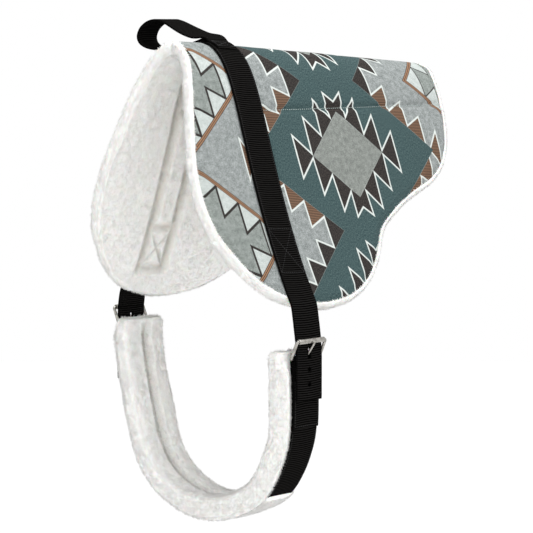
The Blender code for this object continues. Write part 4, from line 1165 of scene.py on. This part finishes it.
def strap_over_pad(buckle):
    """Half of the strap: from the crown down the flap, over the rim and down to its buckle."""
    frames = []
    for length in np.maximum(np.arange(0, FLAP_LENGTH + RIM_WIDTH - STRAP_LEAVE, WEB_STEP), CROWN_NUDGE):
        level = clamped((length - FLAP_LENGTH + STRAP_LEVEL_START) / STRAP_LEVEL_RUN)
        frames.append(pad_frame(-buckle.side * length, STRAP_MIDDLE, level))
    points = [frames[-LEAD][0].yz, frames[-1][0].yz, buckle.strap_top - Vector((0, STRAP_DIP)),
              (buckle.strap_top + buckle.strap_foot) / 2, buckle.strap_foot + Vector((0, BEND_GAP / 2))]
    free = evenly(rounded_route(points), WEB_STEP)[LEAD:]
    frames += plane_frames(free, buckle.side)
    item = band(f"{buckle.name}_strap_web", frames, WEB_WIDTH, cut=(False, False))
    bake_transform(item)
    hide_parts(f"{buckle.name}_strap", *(("pad_strap",) if buckle.side == NEAR else ()))


def cut_away(item, cutters):
    """Cut a mesh with others, and drop them."""
    for cutter in cutters:
        modifier = item.modifiers.new("Cut", "BOOLEAN")
        modifier.operation = "DIFFERENCE"
        modifier.solver = "EXACT"
        modifier.object = cutter
    bpy.context.view_layer.update()
    shaped = item.evaluated_get(bpy.context.evaluated_depsgraph_get())
    mesh = bpy.data.meshes.new_from_object(shaped, preserve_all_data_layers=True,
                                           depsgraph=bpy.context.evaluated_depsgraph_get())
    item.modifiers.clear()
    item.data = mesh
    for cutter in cutters:
        bpy.data.objects.remove(cutter)


def turned(start, end, profile, sides, closed=False):
    """Points and faces of a turned part: profile holds (share along, radius) pairs."""
    run = end - start
    along = run.normalized()
    side = along.orthogonal().normalized()
    up = along.cross(side)
    points = []
    for share, radius in profile:
        points += circle(start + run * share, side, up, radius, sides)
    faces = tube_faces(len(profile), sides, closed)
    return points, faces if closed else faces + end_faces(len(profile), sides)


def round_cutter(centre, reach, radius):
    """A bar that cuts a round hole, as far to either side of its centre as reach."""
    shape = turned(centre - reach, centre + reach, ((0.0, radius), (1.0, radius)), WIRE_SIDES)
    return piece("round_cutter", *shape, NICKEL)


def slot_cutter(buckle):
    """What cuts the tongue's slot: a long hole with round ends, where the strap meets the tongue."""
    tilt = math.atan2(abs(buckle.tongue_way.x), buckle.tongue_way.y)
    out = abs(buckle.strap_at_heel.x - buckle.heel.x)
    overrun = TONGUE_RADIUS / math.sin(tilt)
    high = buckle.heel.y + (out + WEB_THICKNESS) / math.tan(tilt) + overrun
    low = buckle.heel.y + (out - WEB_THICKNESS) / math.tan(tilt + TONGUE_SWING) - overrun
    middle = (buckle.strap_foot.x + buckle.strap_at_heel.x) / 2
    radius = TONGUE_RADIUS + TURN_GAP
    outline = []
    for centre, turns in ((high - radius, range(0, 181, 20)), (low + radius, range(180, 361, 20))):
        for turn in turns:
            outline.append((STRAP_X + radius * math.cos(math.radians(turn)),
                            centre + radius * math.sin(math.radians(turn))))
    points = [(x, middle + side * SLOT_CUT_REACH, z) for side in (-1, 1) for x, z in outline]
    count = len(outline)
    faces = [tuple(range(count)), tuple(range(2 * count - 1, count - 1, -1))]
    for k in range(count):
        after = (k + 1) % count
        faces.append((k, k + count, after + count, after))
    return piece("slot_cutter", points, faces, NICKEL)


def tail(buckle):
    """The strap from the roller over the heel bar, and its free end with punched holes."""
    end = buckle.tail_top - Vector((0.0, buckle.tail_length))
    points = [buckle.strap_foot - Vector((0, BEND_GAP / 2)),
              (buckle.strap_foot + buckle.strap_at_heel) / 2,
              buckle.strap_at_heel, buckle.tail_top, (buckle.tail_top + end) / 2, end]
    route = evenly(rounded_route(points), WEB_STEP)
    item = band(f"{buckle.name}_tail_web", plane_frames(route, buckle.side), WEB_WIDTH, cut=(False, True))
    cutters = []
    for k in range(TAIL_HOLE_COUNT):
        centre = Vector((STRAP_X, buckle.tail_top.x, buckle.tail_top.y - HOLE_PITCH * (k + 0.5)))
        cutters.append(round_cutter(centre, Vector((0, HOLE_CUT_REACH, 0)), HOLE_WIDTH / 2))
    cut_away(item, [*cutters, slot_cutter(buckle)])
    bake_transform(item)
    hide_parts(f"{buckle.name}_strap_wrap", f"{buckle.name}_tail")


# Stitches

def stitches(name, lines, finish, body, pitch=STITCH_PITCH, radius=THREAD_RADIUS):
    """Rows of thread: each line is a list of (point, outward) along the seam."""
    points, faces = [], []
    shares = list(zip(np.linspace(-0.5, 0.5, len(STITCH_LIFT_SHARES)) * STITCH_SHARE,
                      STITCH_LIFT_SHARES, STITCH_SIZE_SHARES))
    for line in lines:
        places = np.array([tuple(p) for p, _ in line])
        outs = np.array([tuple(o) for _, o in line])
        runs = run_lengths(places)
        count = max(1, int(runs[-1] / pitch))
        for k in range(count):
            rings = []
            for along, lift, size in shares:
                where = (k + 0.5 + along) * runs[-1] / count
                out = Vector(at_run(where, runs, outs)).normalized()
                ahead = Vector(at_run(where + STITCH_LOOK, runs, places)
                               - at_run(where - STITCH_LOOK, runs, places))
                side = ahead.normalized().cross(out)
                centre = Vector(at_run(where, runs, places)) + out * lift * radius
                rings.append(list(range(len(points), len(points) + THREAD_SIDES)))
                points += circle(centre, side, out, size * radius, THREAD_SIDES)
            for one, other in zip(rings, rings[1:]):
                faces += ring_faces(one, other)
            faces += [tuple(rings[0])[::-1], tuple(rings[-1])]
    return piece(name, points, faces, finish, body)


def on_face(middle, across, length):
    """A place on the outer face of webbing that lies on the pad, and outward."""
    centre, way, outward = pad_frame(length, middle - WEB_THICKNESS / 2)
    return centre + way * across, outward


def straight(middle, side, start, end, steps=BOX_STITCH_STEPS):
    """A line on webbing on one side of the pad, from one (across, distance from the spine) to another."""
    places = [(start[0] + (end[0] - start[0]) * k / steps, start[1] + (end[1] - start[1]) * k / steps)
              for k in range(steps + 1)]
    return [on_face(middle, across, -side * length) for across, length in places]


def box_lines(middle, side, reach, top, bottom):
    """A box with a cross in it."""
    corners = [(-reach, top), (reach, top), (reach, bottom), (-reach, bottom)]
    pairs = [*zip(corners, corners[1:] + corners[:1]), (corners[0], corners[2]), (corners[1], corners[3])]
    return [straight(middle, side, start, end) for start, end in pairs]


def strap_stitching():
    """The strap's two rows of stitches down each flap, and the box that ends them."""
    for buckle, start in zip(BUCKLES, (NEAR_STITCH_START, FAR_STITCH_START)):
        lines = box_lines(STRAP_MIDDLE, buckle.side, STITCH_REACH, BOX_TOP, BOX_BOTTOM)
        for across in (-STITCH_REACH, STITCH_REACH):
            lines.append(straight(STRAP_MIDDLE, buckle.side, (across, start), (across, BOX_TOP),
                                  STRAP_STITCH_STEPS))
        item = stitches(f"{buckle.name}_strap_stitches", lines, BLACK_THREAD, "pad")
        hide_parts(f"{buckle.name}_box_stitching")


def seat_stitching():
    """The seat seams, sunk in the cover on both flaps."""
    xs = np.linspace(SEAM_START + SEAT_STITCH_GAP, REAR_REACH * SEAT_STITCH_END_SHARE, SEAT_STITCH_STEPS + 1)
    for name, side in (("near", NEAR), ("far", FAR)):
        line = []
        for x in xs:
            length = -side * float(seat_seam_length(x))
            line.append((Vector(on_pad(x, length, SEAT_SEAM_DEPTH - SEAT_STITCH_RISE)), outward_at(length)))
        stitches(f"{name}_seat_stitches", [line], SEAM_THREAD, "pad", SEAT_STITCH_PITCH, SEAT_THREAD_RADIUS)


def handle_route():
    """The handle's middle in the Y-Z plane: up from its near end, out over the far side and back."""
    layer = WEB_THICKNESS + LAYER_GAP
    points = [Vector(on_pad(STRAP_X, length, TAB_MIDDLE)).yz
              for length in np.linspace(HANDLE_END_NEAR, HANDLE_NEAR_RISE, HANDLE_NEAR_POINTS)]
    points.append(HINGE + Vector((HANDLE_RISE, layer / 2)))
    points += [HINGE + Vector((y * HANDLE_LOOP_LENGTH, z * HANDLE_LOOP_HEIGHT))
               for y, z in HANDLE_ROUTE_SHARES]
    points += [HINGE + Vector((y, -layer / 2)) for y in (HANDLE_ROOT, -HANDLE_ROOT)]
    return evenly(rounded_route(points), WEB_STEP)


def handle():
    """The grab handle: sewn down on the near side, over to the far side and back to the crown."""
    frames = plane_frames(handle_route(), 1)
    shaped = []
    for k, (centre, _, outward) in enumerate(frames):
        on = 1 - clamped((centre.y - HANDLE_LEVEL_START) / HANDLE_LEVEL_RUN)
        arm = float(hill(k / len(frames) - HANDLE_LEAN_SHARE, HANDLE_LEAN_HALF_SHARE))
        way = Vector((1, 0, HANDLE_LEAN * arm - CROWN_TILT * on)).normalized()
        shaped.append((centre, way, way.cross(outward).cross(way).normalized()))
    loop = band("handle_web", shaped, HANDLE_WIDTH)
    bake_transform(loop)
    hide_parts("handle_loop")

    frames = [pad_frame(float(length), TAB_MIDDLE)
              for length in np.linspace(-HANDLE_END_FAR, HANDLE_FAR_REACH, HANDLE_FAR_POINTS)]
    far_tab = band("handle_far_end", frames, HANDLE_WIDTH, "pad", start=HANDLE_FAR_RUN)
    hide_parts("handle_ends")

    reach = HANDLE_WIDTH / 2 - STITCH_INSET
    lines = box_lines(TAB_MIDDLE, NEAR, reach, HANDLE_BOX_TOP + STITCH_INSET, HANDLE_END_NEAR - STITCH_INSET)
    far_row = HANDLE_END_FAR - STITCH_INSET
    lines.append(straight(TAB_MIDDLE, FAR, (-reach, far_row), (reach, far_row)))
    item = stitches("handle_stitches", lines, BLACK_THREAD, "pad", HANDLE_STITCH_PITCH)
    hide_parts("handle_stitching")


# Buckles

def wire_frame(buckle):
    """The buckle's wire frame: heel bar, two legs and the roller's bar, with rounded corners."""
    half = WEB_WIDTH / 2 + FRAME_SIDE_GAP + WIRE_RADIUS
    across, up = Vector((1, 0, 0)), Vector((0, *buckle.up))
    out = Vector((0, *buckle.out))
    centre = Vector((STRAP_X, *((buckle.roller + buckle.heel) / 2)))
    flat = (half - FRAME_CORNER, FRAME_PITCH / 2 - FRAME_CORNER)
    route = []
    for quarter, (sx, sz) in enumerate(((1, 1), (-1, 1), (-1, -1), (1, -1))):
        for step in range(CORNER_STEPS + 1):
            turn = math.pi / 2 * (quarter + step / CORNER_STEPS)
            around = math.cos(turn) * across + math.sin(turn) * up
            tangent = math.cos(turn) * up - math.sin(turn) * across
            corner = centre + sx * flat[0] * across + sz * flat[1] * up
            route.append((corner + FRAME_CORNER * around, tangent))
    points = []
    for point, tangent in route:
        points += circle(point, out, tangent.cross(out).normalized(), WIRE_RADIUS, WIRE_SIDES)
    faces = [(a, d, c, b) for a, b, c, d in tube_faces(len(route), WIRE_SIDES, closed=True)]
    item = piece(f"{buckle.name}_frame_wire", points, faces, NICKEL, "girth")
    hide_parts(f"{buckle.name}_buckle_frame")


def lathe(name, start, end, profile, body, closed=False):
    """A turned part of metal, closed into a tube if asked."""
    item = piece(name, *turned(start, end, profile, TURNED_SIDES, closed), NICKEL, body)
    face_outward(item)
    item.data.set_sharp_from_angle(angle=SHARP_ANGLE)
    return item


def tube(name, start, end, inner, outer, lip, lip_shares, body):
    """A turned tube with worn ends: lip_shares holds (share along, share of the lip that is gone) pairs."""
    profile = [(0.0, inner), *((share, outer - lip * gone) for share, gone in lip_shares), (1.0, inner)]
    return lathe(name, start, end, profile, body, closed=True)


def roller(buckle):
    """A tube with rolled lips that turns on the frame's upper bar."""
    half = Vector((WEB_WIDTH / 2 + FRAME_SIDE_GAP + WIRE_RADIUS - FRAME_CORNER - LAYER_GAP, 0, 0))
    centre = Vector((STRAP_X, *buckle.roller))
    item = tube(f"{buckle.name}_roller_tube", centre - half, centre + half, WIRE_RADIUS + TURN_GAP,
                ROLLER_RADIUS, ROLLER_LIP, ROLLER_LIP_SHARES, f"{buckle.name}_roller")
    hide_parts(f"{buckle.name}_buckle_roller")


def tongue(buckle):
    """The tongue: an eye bent round the heel bar, and a pin that tapers to a round tip."""
    length = FRAME_PITCH * math.cos(TONGUE_LEAN) + TONGUE_OVERHANG
    heel = Vector((STRAP_X, *buckle.heel))
    run = Vector((0, *buckle.tongue_way))
    inner = WIRE_RADIUS + TURN_GAP
    half = Vector((TONGUE_EYE_WIDTH / 2, 0, 0))
    tube(f"{buckle.name}_tongue_eye", heel - half, heel + half, inner, inner + TONGUE_EYE_WALL,
         TONGUE_EYE_CHAMFER, TONGUE_EYE_LIP_SHARES, f"{buckle.name}_tongue")
    taper = [(share, TONGUE_RADIUS * size) for share, size in TONGUE_TAPER_SHARES]
    pin = lathe(f"{buckle.name}_tongue_pin", heel + run * (inner + TONGUE_EYE_WALL / 3), heel + run * length,
                taper, f"{buckle.name}_tongue")
    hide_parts(f"{buckle.name}_buckle_tongue")


# Girth

GIRTH_HALF_SPAN = (FAR_BUCKLE.heel.x - NEAR_BUCKLE.heel.x) / 2
GIRTH_MIDDLE_HEIGHT = NEAR_BUCKLE.heel.y - GIRTH_HEIGHT / 2
FOLD_FACE = 1.5 * WEB_THICKNESS + LAYER_GAP    # from the single run's middle to the doubled end's face


def girth_run():
    """The girth webbing's middle in the Y-Z plane, from one heel bar to the other."""
    near_top = NEAR_BUCKLE.heel + Vector((NEAR_BUCKLE.turn_radius, 0.0))
    far_top = FAR_BUCKLE.heel - Vector((FAR_BUCKLE.turn_radius, 0.0))
    between = [(y * GIRTH_HALF_SPAN, NEAR_BUCKLE.heel.y - z * GIRTH_HEIGHT) for y, z in GIRTH_ROUTE_SHARES]
    return evenly(rounded_route([near_top, *between, far_top]), WEB_STEP)


def beside(route, start, end, offset, side):
    """Places beside a stretch of a route, from one length of it to another, and the way out there."""
    found, travelled = [], 0.0
    for before, here, normal in zip(route, route[1:], normals_of(route)[1:]):
        travelled += (here - before).length
        if start < travelled < end:
            found.append((here + normal * side * offset, normal * side))
    return found


def folded_end(buckle, run):
    """The webbing's turn round one heel bar and its doubled end, outside the single run."""
    side = buckle.side
    turn = []
    for step in range(1, FOLD_STEPS):
        angle = math.pi * step / FOLD_STEPS
        turn.append(buckle.heel + buckle.turn_radius * Vector((-side * math.cos(angle), math.sin(angle))))
    outer_top = buckle.heel + Vector((side * buckle.turn_radius, 0.0))
    doubled = [place for place, _ in beside(run, FOLD_START, FOLD_LENGTH, WEB_THICKNESS + LAYER_GAP, side)]
    return evenly([*turn, outer_top, *doubled], WEB_STEP)


def girth_webbing():
    """The girth's webbing with both ends turned round their heel bars, and what sews them."""
    run = girth_run()
    near_end = folded_end(NEAR_BUCKLE, run)
    far_end = folded_end(FAR_BUCKLE, run[::-1])
    item = band("girth_web", plane_frames([*reversed(near_end), *run, *far_end], -1), WEB_WIDTH, "girth")
    half = Vector((TONGUE_EYE_WIDTH / 2 + TURN_GAP, 0, 0))
    cut_away(item, [round_cutter(Vector((STRAP_X, *buckle.heel)), half, buckle.turn_radius + WEB_THICKNESS)
                    for buckle in BUCKLES])
    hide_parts("girth_webbing")

    def sewn(across, place, outward):
        return Vector((STRAP_X + across, *place)), Vector((0, *outward))

    edges = (-STITCH_REACH, STITCH_REACH)
    lines = []
    for buckle, ends in zip(BUCKLES, (run, run[::-1])):
        rows = beside(ends, FOLD_STITCH_START, FOLD_LENGTH - STITCH_INSET, FOLD_FACE, buckle.side)
        lines += [[sewn(across, *row) for row in rows] for across in edges]
        lines += [[sewn(across, *row) for across in edges] for row in (rows[0], rows[-1])]
    total = sum((after - before).length for before, after in zip(run, run[1:]))
    start = FOLD_LENGTH + GIRTH_STITCH_GAP
    rows = beside(run, start, total - start, WEB_THICKNESS / 2, -1)
    lines += [[sewn(across, *row) for row in rows] for across in edges]
    stitches("girth_stitches", lines, BLACK_THREAD, "girth")


def sleeve_section():
    """The sleeve's round-cornered section, as (across, out) points."""
    section = []
    for k in range(SLEEVE_SIDES):
        turn = 2 * math.pi * k / SLEEVE_SIDES - math.pi / 2
        cosine, sine = math.cos(turn), math.sin(turn)
        across = math.copysign(abs(cosine) ** SLEEVE_SQUARENESS, cosine) * SLEEVE_WIDTH / 2
        out = math.copysign(abs(sine) ** SLEEVE_SQUARENESS, sine) * SLEEVE_THICKNESS / 2
        section.append((across, out))
    return section


def sleeve_swell(across, out, end, travelled, wrap):
    """How far one place of the sleeve's section stands out, and how much painted shade it takes in the
    crease.
    """
    if out <= 0:
        outer = min(1.0, -out / (SLEEVE_OUTER_SHARE * SLEEVE_THICKNESS))
        lobe = float(hill(across - SLEEVE_LOBE_PLACE, SLEEVE_LOBE_HALF_WIDTH))
        lobe *= clamped((end - SLEEVE_LOBE_START) / SLEEVE_LOBE_RUN) * SLEEVE_LOBE
        return -max(SLEEVE_WRAP * wrap, lobe) * outer, 0.0
    gather = 1 + CREASE_GATHER_SHARE * noise.noise(Vector((travelled * GATHERS_PER_METRE, *GATHER_NOISE)))
    drift = CREASE_DRIFT * noise.noise(Vector((travelled * DRIFTS_PER_METRE, *DRIFT_NOISE)))
    crease = float(hill(across - drift, SLEEVE_CREASE_HALF_WIDTH))
    fade = clamped((end - CREASE_FADE_START) / CREASE_FADE_RUN)
    rumple = noise.noise(Vector((across / SLEEVE_RUMPLE_WIDTH, travelled / SLEEVE_RUMPLE_LENGTH,
                                 RUMPLE_NOISE)))
    swell = (SLEEVE_PUFF * (1 - crease) * out / (SLEEVE_THICKNESS / 2) + SLEEVE_RUMPLE * rumple
             - SLEEVE_CREASE * crease * gather * (CREASE_END_SHARE + (1 - CREASE_END_SHARE) * fade))
    return swell, CREASE_SHADE_SHARE * crease * crease * gather * fade


def sleeve():
    """The fleece tube on the girth, gathered along the seam in its inner face."""
    run = girth_run()
    near_rise = run[0] + (run[0] - run[LEAD]).normalized() * SLEEVE_RISE
    far_rise = run[-1] + (run[-1] - run[-1 - LEAD]).normalized() * SLEEVE_RISE
    long_run = evenly([near_rise, *run[LEAD - 1:1 - LEAD], far_rise], SLEEVE_STEP)
    inward = WEB_THICKNESS / 2 + LAYER_GAP + SLEEVE_THICKNESS / 2
    normals = normals_of(long_run)
    middle = [point + normal * inward for point, normal in zip(long_run, normals)]
    x = STRAP_X - SLEEVE_FORWARD
    section = sleeve_section()
    points, hollow_shades, travelled = [], [], 0.0
    count = len(middle)
    for k, (point, normal) in enumerate(zip(middle, normals)):
        if k:
            travelled += (middle[k] - middle[k - 1]).length
        end = min(k, count - 1 - k) * SLEEVE_STEP
        close = 1 - SLEEVE_CLOSE_SHARE * math.exp(-end / SLEEVE_CLOSE_RUN)
        wrap = smooth(clamped((SLEEVE_WRAP_SHARE * GIRTH_HALF_SPAN - abs(point.x)) / SLEEVE_WRAP_RUN + 0.5))
        wrap *= point.y < GIRTH_MIDDLE_HEIGHT
        for across, out in section:
            swell, sunk_shade = sleeve_swell(across, out, end, travelled, wrap)
            points.append((x + across * close, *(point + normal * (out * close + swell))))
            hollow_shades.append((sunk_shade, 0, 0))
    lumps = rumples(points, SLEEVE_LUMPS, 11)
    flat = np.array([out < -SLEEVE_OUTER_SHARE * SLEEVE_THICKNESS
                     and abs(across) < WEB_WIDTH / 2 + SLEEVE_SMOOTH_MARGIN
                     and abs(point.x) > (SLEEVE_WRAP_SHARE - SLEEVE_SMOOTH_SHARE) * GIRTH_HALF_SPAN
                     for point in long_run for across, out in section])
    ways = unit(np.array([(a, normal.x * o, normal.y * o) for normal in normals for a, o in section]))
    points = np.array(points) + ways * np.where(flat, 0, lumps)[:, None]

    sides = SLEEVE_SIDES
    faces = tube_faces(count, sides)
    extra = []
    for end, step in ((0, 1), (count - 1, -1)):
        ring = list(range(end * sides, end * sides + sides))
        centre = points[ring].mean(axis=0)
        run_in = np.array([0.0, *(middle[end + step * 3] - middle[end])])
        run_in /= np.linalg.norm(run_in)
        last = ring
        for shrink, sink in SLEEVE_END_RINGS:
            start = len(points) + len(extra)
            extra += [centre + (points[i] - centre) * shrink + run_in * sink for i in ring]
            fresh = list(range(start, start + sides))
            faces += ring_faces(last, fresh)
            last = fresh
        faces.append(tuple(last))
    points = np.concatenate([points, extra])
    hollow_shades = np.concatenate([hollow_shades, np.zeros((len(extra), 3))])
    item = piece("girth_sleeve", points, faces, FLEECE, "girth", {"hollow": hollow_shades})
    face_outward(item)
    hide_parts("girth_fleece", "girth_core")
    return item


def off_the_web(centres, normals):
    """Where the sleeve may carry pile: all but the strip that the webbing covers."""
    run = np.array([tuple(p) for p in girth_run()])[::2]
    distances = np.linalg.norm(centres[:, None, 1:] - run[None], axis=2)
    nearest = run[np.argmin(distances, axis=1)]
    covered = (np.abs(centres[:, 0] - STRAP_X) < WEB_WIDTH / 2 + PILE_WEB_MARGIN) & (
        distances.min(axis=1) < PILE_WEB_REACH)
    wrapped = (np.abs(nearest[:, 0]) < SLEEVE_WRAP_SHARE * GIRTH_HALF_SPAN + SLEEVE_LIP) & (
        nearest[:, 1] < GIRTH_MIDDLE_HEIGHT)
    return np.where(covered & ~wrapped, 0.0, 1.0)


def against_pad(centres, normals):
    """How squarely each place of the lining faces outward, and how far out of the felt's middle it is."""
    lengths = np.linspace(-FLAP_LENGTH, FLAP_LENGTH, FELT_LENGTHS)
    curve = on_pad(0 * lengths, lengths, 0 * lengths + PAD_THICKNESS / 2)[:, 1:]
    level = np.stack([centres[:, 1], centres[:, 2] + CROWN_TILT * centres[:, 0]], axis=1)
    gaps = (level[:, 0, None] - curve[:, 0]) ** 2 + (level[:, 1, None] - curve[:, 1]) ** 2
    nearest = np.argmin(gaps, axis=1)
    slopes = np.interp(np.abs(lengths[nearest]), LENGTHS, SLOPES)
    sides = np.where(lengths[nearest] >= 0, NEAR, FAR)
    outward = np.stack([sides * np.sin(slopes), np.cos(slopes)], axis=1)
    facing = np.sum(outward * normals[:, 1:], axis=1)
    return facing, np.sum(outward * (level - curve[nearest]), axis=1)


def on_rim(centres, normals):
    """Where the rim carries pile."""
    facing, offset = against_pad(centres, normals)
    hidden = (facing > FACING) & (offset < PAD_THICKNESS / 2 - RIM_HIDDEN_DEPTH)
    under_strap = (np.abs(centres[:, 0] - STRAP_X) < WEB_WIDTH / 2 - RIM_STRAP_MARGIN) & (facing > -FACING)
    return np.where(hidden | under_strap | (facing < -FACING_SQUARE), 0.0, 1.0)


def on_flap(side):
    """Where one flap's inner face carries pile."""
    def keep(centres, normals):
        facing, _ = against_pad(centres, normals)
        return np.where((facing < -FACING) & (centres[:, 1] * side > 0), 1.0, 0.0)
    return keep


cover()
LINING = lining()
pile("rim_pile", LINING, TUFTS // 2, TUFT_LENGTH, "pad", on_rim, 21)
pile("near_lining_pile", LINING, TUFTS, TUFT_LENGTH, "pad", on_flap(NEAR), 31)
pile("far_lining_pile", LINING, TUFTS, TUFT_LENGTH, "pad", on_flap(FAR), 41)
for one in BUCKLES:
    strap_over_pad(one)
    tail(one)
    wire_frame(one)
    roller(one)
    tongue(one)
strap_stitching()
seat_stitching()
handle()
girth_webbing()
SLEEVE = sleeve()
pile("sleeve_pile", SLEEVE, TUFTS, SLEEVE_TUFT_LENGTH, "girth", off_the_web, 51)


# Floor, light and camera

FLOOR_HEIGHT = -2.2
FLOOR_RADIUS = 14.0
FLOOR_SIDES = 64
TARGET = Vector((-0.085, 0.0, -0.279))
VIEW = (-47.3, 4.5)                # azimuth and elevation, in degrees
DISTANCE = 2.7
LENS = 131.0
SENSOR_WIDTH = 36.0
VIEW_REACH = 50.0
FLOOR_TONE = 0.90
FLOOR_ROUGHNESS = 0.9
FLOOR_GLOW = 0.14
LAMPS = {                          # azimuth, elevation, distance, size, power
    "key_lamp": (-52, 6, 2.6, 1.4, 10.0),
    "side_lamp": (25, 38, 2.6, 1.8, 5.0),
    "top_lamp": (-5, 78, 2.2, 1.6, 32.0)}


def toward(azimuth, elevation):
    """The way to a place at this azimuth and elevation, in degrees."""
    turn, tilt = math.radians(azimuth), math.radians(elevation)
    return Vector((math.sin(turn) * math.cos(tilt), -math.cos(turn) * math.cos(tilt), math.sin(tilt)))


def aim(item, azimuth, elevation, distance):
    """Stand something at this place round the target, and turn it to face it."""
    item.location = TARGET + toward(azimuth, elevation) * distance
    item.rotation_euler = toward(azimuth, elevation).to_track_quat("Z", "Y").to_euler()


def studio():
    """A pale round floor, even white light with a soft lamp above, and the camera of the photograph."""
    mesh = bpy.data.meshes.new("studio_floor")
    centre, ways = Vector((0, 0, FLOOR_HEIGHT)), (Vector((1, 0, 0)), Vector((0, 1, 0)))
    mesh.from_pydata(circle(centre, *ways, FLOOR_RADIUS, FLOOR_SIDES), [], [tuple(range(FLOOR_SIDES))])
    paper = bpy.data.materials.new("floor_paper")
    paper.use_nodes = True
    shader = paper.node_tree.nodes["Principled BSDF"]
    shader.inputs["Base Color"].default_value = (FLOOR_TONE, FLOOR_TONE, FLOOR_TONE, 1)
    shader.inputs["Roughness"].default_value = FLOOR_ROUGHNESS
    shader.inputs["Emission Color"].default_value = (1, 1, 1, 1)
    shader.inputs["Emission Strength"].default_value = FLOOR_GLOW
    mesh.materials.append(paper)
    placed("studio_floor", mesh)

    world = bpy.data.worlds.new("studio")
    world.use_nodes = True
    world.node_tree.nodes["Background"].inputs["Color"].default_value = (1, 1, 1, 1)
    world.node_tree.nodes["Background"].inputs["Strength"].default_value = 1.0
    bpy.context.scene.world = world

    for name, (azimuth, elevation, distance, size, power) in LAMPS.items():
        light = bpy.data.lights.new(name, "AREA")
        light.shape = "DISK"
        light.size = size
        light.energy = power
        aim(placed(name, light), azimuth, elevation, distance)

    lens = bpy.data.cameras.new("photo_camera")
    lens.lens = LENS
    lens.sensor_width = SENSOR_WIDTH
    lens.clip_end = VIEW_REACH
    camera = placed("photo_camera", lens)
    aim(camera, *VIEW, DISTANCE)
    bpy.context.scene.camera = camera
    bpy.context.scene.view_settings.view_transform = "Standard"


studio()
